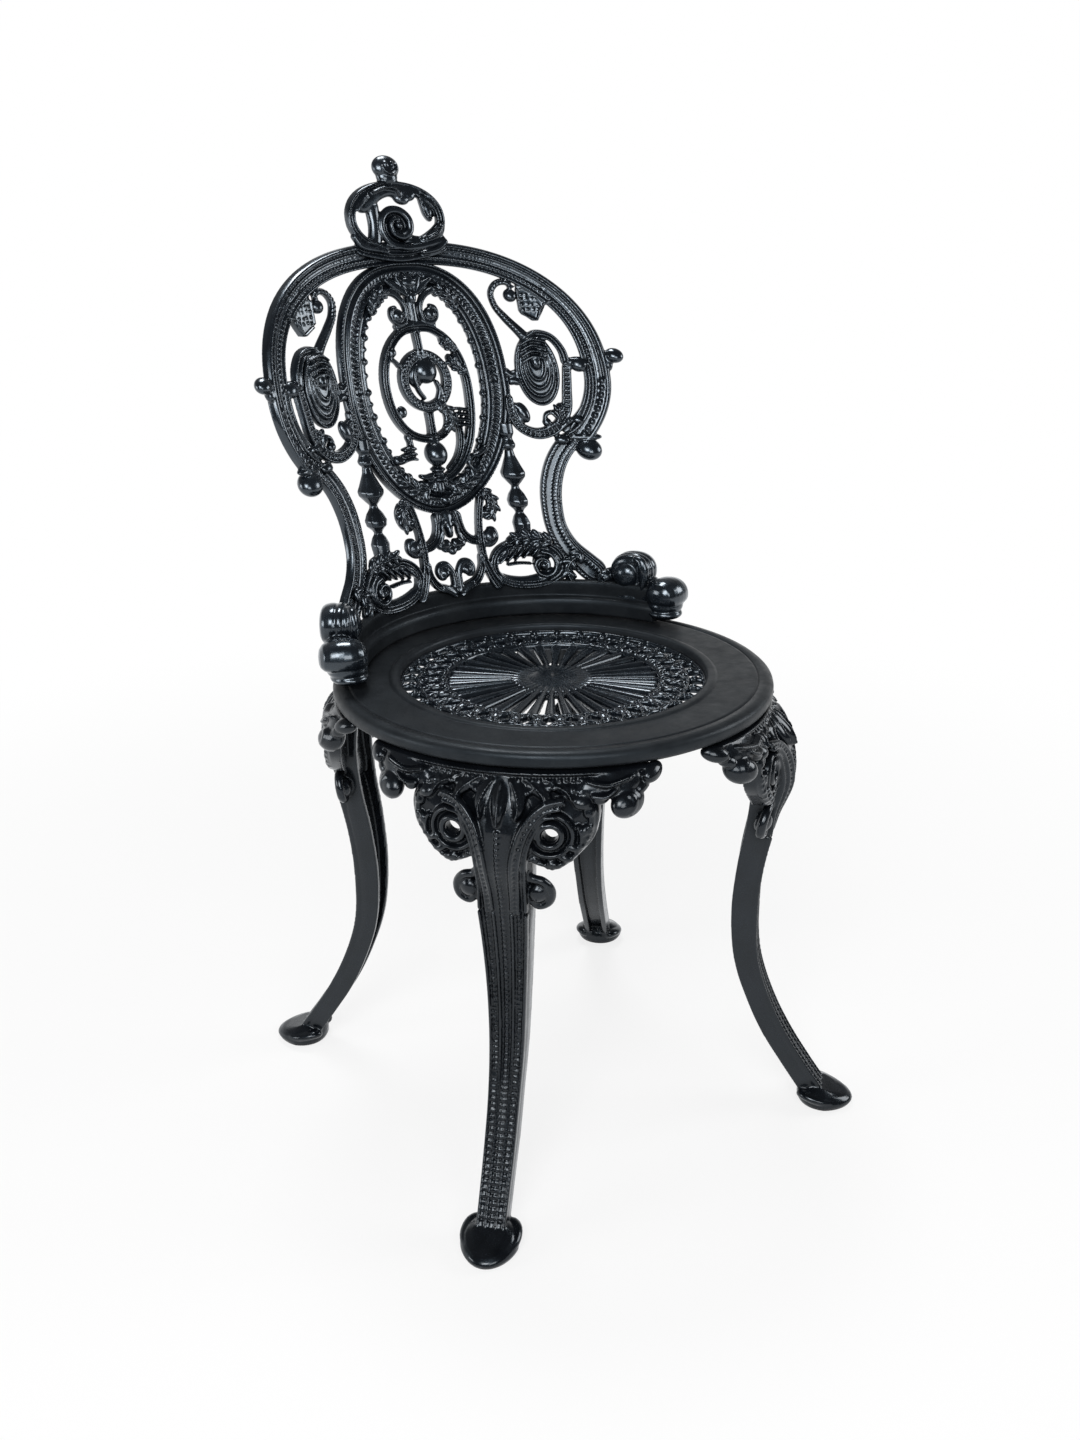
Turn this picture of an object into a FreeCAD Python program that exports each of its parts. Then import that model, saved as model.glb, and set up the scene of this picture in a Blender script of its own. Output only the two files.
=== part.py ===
import FreeCAD, Part
import math
import os

import Sketcher

# Cast iron garden chair: a round pierced seat on four cabriole legs, with a pierced and scrolled
# barrel back that stands on the seat rim. Millimetres, +Z up, the sitter faces -Y.

Vector = FreeCAD.Vector
UP = Vector(0, 0, 1)

# Driving dimensions in millimetres, or counts and degrees where the name says so.
SIZES = {
    # Seat casting, heights measured down from the rim's top face.
    "seat_height": 430,
    "rim_radius": 200,
    "rim_depth": 17,
    "rim_wall": 7,
    "rim_nose": 4,
    "lip_inset": 7,
    "lip_height": 3,
    "skirt_wall": 7,
    "ring_radius": 150,
    "ring_width": 10,
    "panel_drop": 8,
    "panel_thickness": 6,
    "spoke_count": 36,
    "spoke_gap_start": 36,
    "spoke_gap_end": 92,
    "spoke_gap_narrow": 0.7,
    "spoke_gap_wide": 3.0,
    "window_start": 103,
    "window_end": 121,
    "window_width": 9.5,
    "slot_inner": 126.5,
    "slot_outer": 136.5,
    "slot_half_length": 8.6,
    "slot_taper": 0.7,
    "boss_length": 31,
    "boss_half_width": 16,
    # Barrel back: a cone about an upright axis in front of the seat's centre.
    "back_height": 441,
    "barrel_radius": 227,
    "barrel_inset": 21,
    "barrel_flare": 0.3,
    "lattice_front": 5,
    "lattice_rear": 4,
    "hoop_half_width": 181.5,
    "hoop_top": 362,
    "hoop_shoulder": 235,
    "hoop_tuck": 118,
    "hoop_width": 22,
    "oval_centre": 225,
    "oval_half_width": 90.5,
    "oval_half_height": 118,
    "oval_side_width": 29.5,
    "oval_end_width": 23.5,
    "waist_half_width": 110,
    "waist_height": 102,
    "waist_width": 20,
    "drop_offset": 79,
    "rosette_offset": 118.5,
    "rosette_height": 237,
    "rosette_half_width": 20,
    "rosette_half_height": 34,
    "base_oval_offset": 77,
    "base_oval_height": 52,
    "crown_half_width": 53,
    "crown_half_height": 34,
    "crown_height": 383,
    "crown_width": 8.5,
    "finial_radius": 15.5,
    "finial_half_height": 10.5,
    "upper_knob_radius": 7.5,
    "lower_knob_radius": 11,
    "band_radius": 188,
    "band_thickness": 16,
    "band_height": 34,
    "band_moulding": 17,
    "band_strip": 10,
    "band_ledge": 2,
    "band_span_degrees": 146,
    "upper_scroll_radius": 17,
    "lower_scroll_radius": 21,
    "scroll_depth": 24,
    "scroll_rounding": 6,
    # Legs, in the upright plane through the seat's axis, and across it.
    "leg_wall": 6,
    "leg_face": 13,
    "leg_corner": 5,
    "head_thickness": 10,
    "flange_thickness": 6,
    "flange_inner": 140,
    "flange_width": 68,
    "wing_half_span": 115,
    "eye_radius": 5.5,
    "foot_reach": 273,
    "foot_radius": 27,
    "foot_sole": 20,
    "foot_height": 24,
    "foot_edge": 7,
    "foot_notch": 12,
    # Fasteners.
    "leg_bolt_circle": 160,
    "leg_bolt_radius": 5,
    "leg_bolt_length": 14,
    "leg_bolt_head": 6.5,
    "leg_bolt_flats": 17,
    "back_bolt_circle": 177,
    "back_bolt_radius": 3,
    "back_bolt_length": 18,
    "back_bolt_head": 4,
    "back_bolt_flats": 10,
    "hole_clearance": 0.5,
    "thread_clearance": 0.1,
    "tip_clearance": 1,
}

LEG_AZIMUTHS = {
    "leg_front_left": -45,
    "leg_front_right": -135,
    "leg_rear_right": 135,
    "leg_rear_left": 45,
}
BACK_BOLT_AZIMUTHS = (28, 90, 152)

# How far the barrel's axis stands in front of the seat's, so that the band and barrel keep together.
BARREL_SETBACK = "barrel_radius - band_radius + barrel_inset"
# Sides of the many-sided cone that the back's ornament follows.
BARREL_FACETS = 36
# Straight lengths of the curved base band.
BAND_FACETS = 14
# Sides that stand in for a bolt's round shank and its hole, to keep the facets down.
BOLT_SIDES = 12

# How far a light scroll's facets may stray from its smooth line.
FACET_SAG = 0.9
# How full the hoop is, and the oval ring above and below its middle, where an ellipse is 2.
HOOP_FULLNESS = 2.4
RING_FULLNESS_ABOVE = 2.4
RING_FULLNESS_BELOW = 1.87
RING_SIDES = 28

doc = FreeCAD.newDocument("garden_chair")
sheet = doc.addObject("Spreadsheet::Sheet", "sizes")
for row, (name, value) in enumerate(SIZES.items(), start=1):
    sheet.set("A%d" % row, name)
    sheet.set("B%d" % row, str(value))
    sheet.setAlias("B%d" % row, name)
doc.recompute()


def amount(text):
    """The value of a sum of named sizes, such as 'rim_radius - lip_inset'."""
    total = 0.0
    sign = 1
    for word in text.split():
        if word in ("+", "-"):
            sign = 1 if word == "+" else -1
        elif word != "0":
            total += sign * float(sheet.get(word))
            sign = 1
    return total


def bound(text):
    """The same sum written as an expression on the sheet."""
    plain = ("+", "-", "0")
    return " ".join(word if word in plain else "sizes." + word for word in text.split())


def origin_plane(body, role):
    return [item for item in body.Origin.OriginFeatures if item.Role == role][0]


def new_sketch(body, name, role):
    sketch = body.newObject("Sketcher::SketchObject", name)
    sketch.AttachmentSupport = [(origin_plane(body, role), "")]
    sketch.MapMode = "FlatFace"
    return sketch


def pin_point(sketch, geometry, end, across, along):
    """Ties one end of a sketch line to named sizes."""
    for kind, text in (("DistanceX", across), ("DistanceY", along)):
        rule = Sketcher.Constraint(kind, -1, 1, geometry, end, amount(text))
        index = sketch.addConstraint(rule)
        if text != "0":
            sketch.setExpression("Constraints[%d]" % index, bound(text))


def outline_sketch(body, name, role, corners):
    """A closed outline of straight lines, each corner a pair of sums of named sizes."""
    sketch = new_sketch(body, name, role)
    draw_outline(sketch, [Vector(amount(across), amount(along), 0) for across, along in corners])
    count = len(corners)
    for i in range(count):
        sketch.addConstraint(Sketcher.Constraint("Coincident", i, 2, (i + 1) % count, 1))
    for i, (across, along) in enumerate(corners):
        pin_point(sketch, i, 1, across, along)
    return sketch


def hole_sketch(body, name, centres, radius):
    """Round holes of one named radius about computed centres, drawn with the sides of a bolt."""
    sketch = new_sketch(body, name, "XY_Plane")
    for across, along in centres:
        corners = []
        for i in range(BOLT_SIDES):
            step_x, step_y = on_circle(amount(radius), 360 * i / BOLT_SIDES)
            corners.append(Vector(across + step_x, along + step_y, 0))
        draw_outline(sketch, corners)
    return sketch


def draw_outline(sketch, corners):
    """Draws a closed outline of straight lines in a sketch."""
    for i in range(len(corners)):
        sketch.addGeometry(Part.LineSegment(corners[i], corners[(i + 1) % len(corners)]), False)


def on_circle(radius, azimuth):
    angle = math.radians(azimuth)
    return radius * math.cos(angle), radius * math.sin(angle)


# Seat


def cut_up(body, sketch, name, depth=None):
    """Cuts a sketch on the ground plane upwards, through everything or to a named depth."""
    before = body.Shape.Volume
    pocket = body.newObject("PartDesign::Pocket", name)
    pocket.Profile = sketch
    pocket.Reversed = True
    if depth is None:
        pocket.Type = 1
    else:
        pocket.Type = 0
        pocket.setExpression("Length", bound(depth))
    doc.recompute()
    assert pocket.Shape.Volume < before
    return pocket


def polar(body, feature, name):
    """Repeats a feature about the seat's axis, once for each spoke."""
    pattern = body.newObject("PartDesign::PolarPattern", name)
    pattern.Originals = [feature]
    pattern.Axis = (origin_plane(body, "Z_Axis"), [""])
    pattern.Angle = 360
    pattern.setExpression("Occurrences", "sizes.spoke_count")
    body.Tip = pattern
    return pattern


def make_seat():
    """The seat: a rim with a skirt, a raised inner ring, a dished pierced panel and leg bosses."""
    body = doc.addObject("PartDesign::Body", "seat")
    panel = "rim_depth - panel_drop"
    inside = "ring_radius - ring_width"
    web = "rim_depth - rim_wall"
    skirt = "rim_radius - lip_inset"
    profile = [
        ("0", panel),
        (inside, panel),
        (inside, "rim_depth"),
        ("rim_radius - rim_nose", "rim_depth"),
        ("rim_radius", "rim_depth - rim_nose"),
        ("rim_radius", "lip_height"),
        (skirt, "lip_height"),
        (skirt, "0"),
        (skirt + " - skirt_wall", "0"),
        (skirt + " - skirt_wall", web),
        ("ring_radius", web),
        ("ring_radius", panel + " - panel_thickness"),
        ("0", panel + " - panel_thickness"),
    ]
    disc_turn = body.newObject("PartDesign::Revolution", "seat_disc")
    disc_turn.Profile = outline_sketch(body, "seat_profile", "XZ_Plane", profile)
    disc_turn.ReferenceAxis = (origin_plane(body, "Z_Axis"), [""])
    disc_turn.Angle = 360
    doc.recompute()

    gap = [
        ("spoke_gap_start", "0 - spoke_gap_narrow"),
        ("spoke_gap_end", "0 - spoke_gap_wide"),
        ("spoke_gap_end + spoke_gap_wide", "0"),
        ("spoke_gap_end", "spoke_gap_wide"),
        ("spoke_gap_start", "spoke_gap_narrow"),
    ]
    slot = [
        ("slot_inner", "0 - slot_half_length + slot_taper"),
        ("slot_outer", "0 - slot_half_length"),
        ("slot_outer", "slot_half_length"),
        ("slot_inner", "slot_half_length - slot_taper"),
    ]
    openings = [
        ("spoke_gap", outline_sketch(body, "spoke_gap", "XY_Plane", gap)),
        ("rim_slot", outline_sketch(body, "rim_slot", "XY_Plane", slot)),
        ("lace_window", window_sketch(body)),
    ]
    for name, sketch in openings:
        polar(body, cut_up(body, sketch, name + "_cut"), name + "s")
        doc.recompute()

    blocks = new_sketch(body, "leg_boss_outlines", "XY_Plane")
    inner = amount("ring_radius")
    outer = inner + amount("boss_length")
    half = amount("boss_half_width")
    for azimuth in LEG_AZIMUTHS.values():
        turn = FreeCAD.Rotation(UP, azimuth)
        places = ((inner - amount("ring_width") / 2, -half), (outer, -half), (outer, half),
                  (inner - amount("ring_width") / 2, half))
        draw_outline(blocks, [turn.multVec(Vector(along, across, 0)) for along, across in places])
    bosses = body.newObject("PartDesign::Pad", "leg_bosses")
    bosses.Profile = blocks
    bosses.setExpression("Length", bound(web))
    doc.recompute()

    bolts = [on_circle(amount("leg_bolt_circle"), azimuth) for azimuth in LEG_AZIMUTHS.values()]
    threads = hole_sketch(body, "leg_threads", bolts, "leg_bolt_radius + thread_clearance")
    cut_up(body, threads, "leg_thread_holes", "leg_bolt_length - flange_thickness + tip_clearance")
    bolts = [on_circle(amount("back_bolt_circle"), azimuth) for azimuth in BACK_BOLT_AZIMUTHS]
    holes = hole_sketch(body, "back_holes", bolts, "back_bolt_radius + hole_clearance")
    cut_up(body, holes, "back_bolt_holes")
    doc.recompute()
    return body


def window_sketch(body):
    """One pointed window of the lace, half a spoke's turn away from the first gap."""
    window = new_sketch(body, "lace_window", "XY_Plane")
    turn = FreeCAD.Rotation(UP, 180 / amount("spoke_count"))
    middle = (amount("window_start") + amount("window_end")) / 2
    half = amount("window_width") / 2
    corners = ((amount("window_start"), 0), (middle, -half), (amount("window_end"), 0), (middle, half))
    draw_outline(window, [turn.multVec(Vector(along, across, 0)) for along, across in corners])
    return window


def band_middle():
    return amount("band_radius") - amount("band_thickness") / 2


# Back


def barrel_radius(height):
    return amount("barrel_radius") + amount("barrel_flare") * height


def barrel_point(across, height, offset=0.0):
    """A point on the back's barrel surface, above the seat top, moved outwards by an offset."""
    radius = barrel_radius(height) + offset
    depth = math.sqrt(radius * radius - across * across) - amount(BARREL_SETBACK)
    return Vector(across, depth, height)


def flat(across, height):
    return Vector(across, 0, height)


def facing_front(shape):
    """The flat faces of a shape, each turned so that its normal points to the front."""
    faces = []
    for face in shape.Faces:
        outer = face.OuterWire
        holes = [wire for wire in face.Wires if not wire.isSame(outer)]
        turned = Part.Face([outer] + holes)
        if turned.normalAt(0, 0).y > 0:
            turned.reverse()
        faces.append(turned)
    return faces


def width_at(path, points, parameter):
    """The width of a stroke between its points, in proportion to the way along its path."""
    knots = [path.parameter(flat(across, height)) for across, height, width in points]
    for i in range(len(points) - 1):
        if parameter <= knots[i + 1]:
            share = (parameter - knots[i]) / (knots[i + 1] - knots[i])
            return points[i][2] + share * (points[i + 1][2] - points[i][2])
    return points[-1][2]


def stroke_sides(path, points, parameters):
    """Points on the two sides of a stroke, at the given parameters of its path."""
    left = []
    right = []
    for parameter in parameters:
        place = path.value(parameter)
        tangent = path.tangent(parameter)[0]
        side = Vector(-tangent.z, 0, tangent.x) * (width_at(path, points, parameter) / 2)
        left.append(place + side)
        right.append(place - side)
    return left, right


def stroke_path(points):
    path = Part.BSplineCurve()
    path.interpolate([flat(across, height) for across, height, width in points])
    return path


def stroke(points):
    """A light scroll along (across, height, width) points, in short facets with rounded ends."""
    path = stroke_path(points)
    stops = path.toShape().discretize(QuasiDeflection=FACET_SAG)
    parameters = [path.parameter(place) for place in stops]
    left, right = stroke_sides(path, points, parameters)
    near = path.value(path.FirstParameter) - path.tangent(path.FirstParameter)[0] * (points[0][2] / 3)
    far = path.value(path.LastParameter) + path.tangent(path.LastParameter)[0] * (points[-1][2] / 3)
    corners = [near] + left + [far] + right[::-1]
    return Part.Face(Part.makePolygon(corners + corners[:1]))


def disc(across, height, half_width, half_height, sides):
    """A filled ellipse in the front plane, in short facets."""
    corners = []
    for i in range(sides):
        angle = 2 * math.pi * (i + 0.5) / sides
        corners.append(flat(across + half_width * math.cos(angle), height + half_height * math.sin(angle)))
    return Part.Face(Part.makePolygon(corners + corners[:1]))


def ring(across, height, half_width, half_height, side_width, end_width, sides):
    """An upright elliptical ring whose band has one width at its sides and one at its ends."""
    hole = disc(across, height, half_width - side_width, half_height - end_width, sides)
    return disc(across, height, half_width, half_height, sides).cut(hole)


def egg(height, half_width, half_height, sides):
    """A filled oval on the back's middle line, with its own fullness above and below its centre."""
    corners = []
    for i in range(sides):
        angle = 2 * math.pi * (i + 0.5) / sides
        across = math.cos(angle)
        up = math.sin(angle)
        power = 2 / (RING_FULLNESS_ABOVE if up > 0 else RING_FULLNESS_BELOW)
        corners.append(flat(math.copysign(half_width * abs(across) ** power, across),
                            height + math.copysign(half_height * abs(up) ** power, up)))
    return Part.Face(Part.makePolygon(corners + corners[:1]))


def both_sides(points):
    """A stroke and its mirror image."""
    mirrored = [(-across, height, width) for across, height, width in points]
    return [stroke(points), stroke(mirrored)]


def hoop_line(inset, width):
    """Points along the hoop, parallel to its outer edge, from its left foot to its right one."""
    half = amount("hoop_half_width") - inset
    shoulder = amount("hoop_shoulder")
    rise = amount("hoop_top") - shoulder - inset
    tuck = amount("hoop_tuck")
    squareness = 2 / HOOP_FULLNESS
    line = []
    for degrees in (-34, -17, 0, 20, 42, 66):
        angle = math.radians(degrees)
        if degrees < 0:
            across = half * math.cos(angle)
            height = shoulder + tuck * math.sin(angle)
        else:
            across = half * math.cos(angle) ** squareness
            height = shoulder + rise * math.sin(angle) ** squareness
        line.append((across, height, width))
    left = [(-across, height, width) for across, height, width in line]
    return left + [(0, shoulder + rise, width)] + line[::-1]


def frame_outline():
    """The back's heavy members: hoop, oval ring, waist posts, base ovals and centre lyre."""
    width = amount("hoop_width")
    waist = amount("waist_half_width")
    middle = amount("waist_height")
    post = amount("waist_width")
    foot = amount("hoop_tuck") * math.sin(math.radians(34))
    joint = amount("hoop_shoulder") - foot
    faces = [stroke(hoop_line(width / 2, width))]
    faces += both_sides([
        (waist + 32, joint + 3, post),
        (waist + 16, joint - 14, post),
        (waist + 4, middle + 28, post),
        (waist, middle, post),
        (waist + 1.5, middle - 20, post + 1),
        (waist + 8, middle - 38, post + 2),
        (waist + 22, middle - 56, post + 4),
        (waist + 33, middle - 68, post + 6),
    ])
    centre = amount("oval_centre")
    hole = egg(centre, amount("oval_half_width - oval_side_width"),
               amount("oval_half_height - oval_end_width"), RING_SIDES)
    faces.append(egg(centre, amount("oval_half_width"), amount("oval_half_height"), RING_SIDES).cut(hole))
    return faces


def base_outline():
    """Ornament between the oval and the base band: shell ovals, bars, lyre and volutes."""
    faces = []
    offset = amount("base_oval_offset")
    height = amount("base_oval_height")
    for side in (-1, 1):
        plate = disc(side * offset, height, 38, 25, 18)
        slot = disc(side * (offset - 12), height - 6, 17, 4.5, 8)
        faces.append(plate.cut(slot))
    faces += both_sides([(40, 122, 8), (33, 100, 8), (31, 80, 8), (33, 62, 8), (40, 44, 10), (48, 34, 10)])
    faces += both_sides([(33, 60, 7), (28, 46, 8), (16, 38, 9), (0, 33, 10)])
    faces += both_sides([(31, 106, 6), (51, 107, 6)])
    faces += both_sides([(30, 82, 6), (43, 82, 6)])
    faces += both_sides([(2, 34, 8), (3, 50, 7), (6, 62, 6.5), (13, 66, 6), (20, 61, 6), (19, 53, 6)])
    faces += both_sides([(9, 113, 14), (13, 97, 11), (20, 84, 9), (31, 77, 7)])
    faces += both_sides([(16, 84, 8), (0, 77, 9)])
    for side in (-1, 1):
        faces += [disc(side * 52, 107, 7.5, 7.5, 10), disc(side * 43, 82, 7.5, 7.5, 10)]
    return faces


def centre_outline():
    """Ornament inside the oval: ringed medallion, stems, fan of volutes and the side scroll."""
    faces = [
        ring(1.5, 232, 49, 55.5, 8, 8, 20),
        ring(2, 234, 29, 29.5, 10, 10, 14),
        stroke([(0, 286, 7), (1, 258, 6), (3, 244, 8)]),
        stroke([(0, 205, 8), (0, 164, 8), (0, 130, 9)]),
        stroke([(47, 232, 7), (46, 200, 9), (37, 168, 8), (26, 150, 7), (10, 139, 8)]),
        stroke([(24, 214, 9), (32, 200, 9), (44, 194, 8)]),
        stroke([(-38, 196, 7), (-27, 182, 6), (-27, 168, 8), (-40, 160, 8)]),
        stroke([(52, 166, 6), (40, 160, 5), (36, 151, 5), (42, 146, 6)]),
        stroke([(22, 252, 8), (33, 262, 8), (40, 262, 7)]),
        stroke([(0, 332, 12), (0, 300, 10), (0, 280, 12)]),
    ]
    faces += both_sides([(4, 294, 7), (7, 312, 8), (20, 317, 9), (34, 312, 10), (40, 304, 12)])
    faces += both_sides([(4, 284, 7), (20, 284, 6), (27, 292, 5), (22, 300, 5)])
    faces += [disc(side * 18, 292.5, 8.5, 8.5, 12) for side in (-1, 1)]
    return faces


def side_outline():
    """Ornament between oval and hoop: rosettes in a scrolled basket, hooks, links and leaf drops."""
    offset = amount("rosette_offset")
    height = amount("rosette_height")
    faces = [disc(side * offset, height, amount("rosette_half_width"), amount("rosette_half_height"), 16)
             for side in (-1, 1)]
    faces += both_sides([(offset + 3, height + 33, 8), (offset + 19, height + 25, 8),
                         (offset + 27.5, height + 6, 8), (offset + 24.5, height - 18, 9),
                         (offset + 20, height - 40, 10), (offset + 8, height - 56, 11),
                         (offset - 9, height - 61, 11), (offset - 24, height - 54, 10),
                         (offset - 31, height - 40, 9), (offset - 31, height - 22, 8)])
    faces += both_sides([(offset - 3, height + 28, 14), (offset - 22, height + 51, 9.5),
                         (offset - 30, height + 63, 8), (offset - 31.5, height + 75, 7.5),
                         (offset - 25, height + 83, 7.5), (offset - 15, height + 84, 7)])
    faces += both_sides([(offset - 14, height + 84, 8), (offset - 13, height + 73, 8)])
    faces += both_sides([(offset + 26, height + 5, 8), (offset + 48, height + 8, 10)])
    faces += both_sides([(offset + 45, height + 8, 8), (offset + 45, height - 12, 8),
                         (offset + 39, height - 34, 9), (offset + 28, height - 50, 11),
                         (offset + 14, height - 60, 12)])
    faces += both_sides([(offset + 7, height - 55, 5), (offset + 12, height - 47, 5),
                         (offset + 9, height - 41, 5), (offset + 2, height - 42, 5)])
    faces += both_sides([(offset - 36, height - 1, 14), (offset - 14, height - 1, 12)])
    faces += [disc(side * (offset - 20), height - 40, 7, 10, 8) for side in (-1, 1)]
    for side in (-1, 1):
        tips = [(111, 320), (112, 291), (128, 284), (132, 298), (142, 300)]
        corners = [flat(side * across, up) for across, up in tips]
        faces.append(Part.Face(Part.makePolygon(corners + corners[:1])))
    return faces


def crown_outline():
    """The open crown over the hoop, with its inner scroll and the finial's neck."""
    height = amount("crown_height")
    half = amount("crown_half_width")
    tall = amount("crown_half_height")
    width = amount("crown_width")
    upper = ring(0, height, half, tall, width, width, 20)
    faces = [
        upper,
        stroke([(-24, height - 24, 9), (-23, height, 9), (-17, height + 14, 9), (-4, height + 20, 10)]),
        stroke([(-20, height + 18, 14), (4, height + 21, 20), (24, height + 18, 16)]),
        disc(0, height - 9, 20, 19, 12),
        stroke([(-46, height - 26, 12), (0, height - 29, 12), (46, height - 26, 12)]),
        stroke([(38, height + 14, 12), (34, height - 1, 7)]),
        stroke([(0, height + tall - 6, 20), (0, height + tall + 6, 19)]),
    ]
    return faces


def joined_outline(name, faces):
    """A document object for a set of flat faces, merged into one outline."""
    turned = [face for shape in faces for face in facing_front(shape)]
    joined = turned[0].multiFuse(turned[1:])
    outline = doc.addObject("Part::Feature", name + "_outline")
    outline.Shape = Part.makeShell(joined.Faces).removeSplitter()
    return outline


def barrel_solid(name, offset):
    """A many-sided cone whose faces follow the barrel surface, moved outwards by an offset."""
    tall = amount("back_height + band_height")
    side_angle = 2 * math.pi / BARREL_FACETS
    swell = 1 / math.sqrt(math.cos(side_angle / 2))
    rings = []
    for height in (0, tall):
        radius = (barrel_radius(height) + offset) * swell
        corners = []
        for i in range(BARREL_FACETS):
            angle = (i + 0.5) * side_angle
            corners.append(Vector(radius * math.cos(angle), radius * math.sin(angle), height))
        rings.append(corners)
    low, high = rings
    faces = [Part.Face(Part.makePolygon(ring_points + ring_points[:1])) for ring_points in rings]
    for i in range(BARREL_FACETS):
        j = (i + 1) % BARREL_FACETS
        faces.append(Part.Face(Part.makePolygon([low[i], low[j], high[j], high[i], low[i]])))
    barrel = doc.addObject("Part::Feature", name)
    barrel.Shape = Part.makeSolid(Part.makeShell(faces))
    barrel.Placement.Base = Vector(0, -amount(BARREL_SETBACK), 0)
    return barrel


def barrel_layer(name, faces, front, rear):
    """The part of a pattern, drawn out from front to rear, between two parallel barrel surfaces."""
    shell = doc.addObject("Part::Cut", name + "_shell")
    shell.Base = barrel_solid(name + "_rear", amount(rear))
    shell.Tool = barrel_solid(name + "_front", -amount(front))
    prism = doc.addObject("Part::Extrusion", name + "_prism")
    prism.Base = joined_outline(name, faces)
    prism.DirMode = "Custom"
    prism.Dir = Vector(0, 1, 0)
    prism.setExpression("LengthFwd", "sizes.barrel_radius + sizes.back_height")
    prism.Solid = True
    layer = doc.addObject("Part::Common", name + "_layer")
    layer.Base = prism
    layer.Tool = shell
    return layer


def turned(name, profile, sides, base, direction):
    """A many-sided body turned about an axis from (distance along it, radius) points."""
    rings = []
    for along, radius in profile:
        corners = []
        for i in range(sides):
            angle = 2 * math.pi * i / sides
            corners.append(Vector(radius * math.cos(angle), radius * math.sin(angle), along))
        rings.append(corners)
    faces = [Part.Face(Part.makePolygon(end + end[:1])) for end in (rings[0], rings[-1])]
    for low, high in zip(rings, rings[1:]):
        for i in range(sides):
            j = (i + 1) % sides
            faces.append(Part.Face(Part.makePolygon([low[i], low[j], high[j], high[i], low[i]])))
    piece = doc.addObject("Part::Feature", name)
    piece.Shape = Part.makeSolid(Part.makeShell(faces))
    piece.Placement = FreeCAD.Placement(base, FreeCAD.Rotation(UP, direction))
    return piece


def bolt_bar(name, radius, base, length):
    """A many-sided bar that stands for a bolt's shank or cuts its hole."""
    bar = doc.addObject("Part::Prism", name)
    bar.Polygon = BOLT_SIDES
    bar.setExpression("Circumradius", bound(radius))
    bar.Height = length
    bar.Placement.Base = base
    return bar


def ball(name, across, height, radius, offset=0.0):
    """A ball centred on the barrel surface, its poles up and down the barrel."""
    profile = []
    for degrees in (-68, -23, 23, 68):
        angle = math.radians(degrees)
        profile.append((radius * math.sin(angle), radius * math.cos(angle)))
    centre = barrel_point(across, height, offset)
    return turned(name, profile, 10, centre, barrel_point(across, height + radius, offset) - centre)


def turned_drop(side):
    """One hanging string of drops, turned about a line that leans with the barrel."""
    offset = amount("drop_offset")
    low = 78
    beads = [(0, 8), (13, 9.5), (22, 4), (35, 11), (47, 4), (62, 13), (78, 5.5), (89, 8), (95, 5.5), (110, 8)]
    bottom = barrel_point(side * offset, low)
    top = barrel_point(side * offset, low + beads[-1][0])
    return turned("drops_%s" % ("right" if side > 0 else "left"), beads, 10, bottom, top - bottom)


def end_scroll(name, azimuth, height, radius):
    """A fat rolled scroll end on the base band, its axis pointing away from the seat's centre."""
    soft = amount("scroll_rounding")
    depth = amount("scroll_depth")
    profile = [(0, radius - soft), (soft, radius), (depth - soft, radius), (depth, radius - soft)]
    inner = band_middle() + 3 - depth / 2
    across, forward = on_circle(inner, azimuth)
    outwards = Vector(*on_circle(1, azimuth), 0)
    return turned(name, profile, 13, Vector(across, forward, height), outwards)


def base_band():
    """The curved foot of the back: a moulding on the seat rim with a plain strip above it."""
    outer = amount("band_radius")
    inner = outer - amount("band_thickness")
    low = amount("band_moulding")
    high = amount("band_height")
    strip = outer - amount("band_ledge")
    corners = [(inner, 0), (outer, 0), (outer, low), (strip, low), (strip, high),
               (strip - amount("band_strip"), high), (strip - amount("band_strip"), low), (inner, low)]
    span = amount("band_span_degrees")
    sections = []
    for i in range(BAND_FACETS + 1):
        turn = FreeCAD.Rotation(UP, 90 + span * (i / BAND_FACETS - 0.5))
        sections.append([turn.multVec(Vector(radius, 0, height)) for radius, height in corners])
    faces = [Part.Face(Part.makePolygon(end + end[:1])) for end in (sections[0], sections[-1])]
    for here, there in zip(sections, sections[1:]):
        for i in range(len(corners)):
            j = (i + 1) % len(corners)
            faces.append(Part.Face(Part.makePolygon([here[i], there[i], there[j], here[j], here[i]])))
    bar = doc.addObject("Part::Feature", "base_bar")
    bar.Shape = Part.makeSolid(Part.makeShell(faces))
    depth = amount("back_bolt_length - rim_wall + tip_clearance")
    holes = doc.addObject("Part::Compound", "base_band_holes")
    holes.Links = [bolt_bar("base_band_hole_%d" % azimuth, "back_bolt_radius + thread_clearance",
                            Vector(*on_circle(amount("back_bolt_circle"), azimuth), -depth), depth * 2)
                   for azimuth in BACK_BOLT_AZIMUTHS]
    band = doc.addObject("Part::Cut", "base_band")
    band.Base = bar
    band.Tool = holes
    return band


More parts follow.
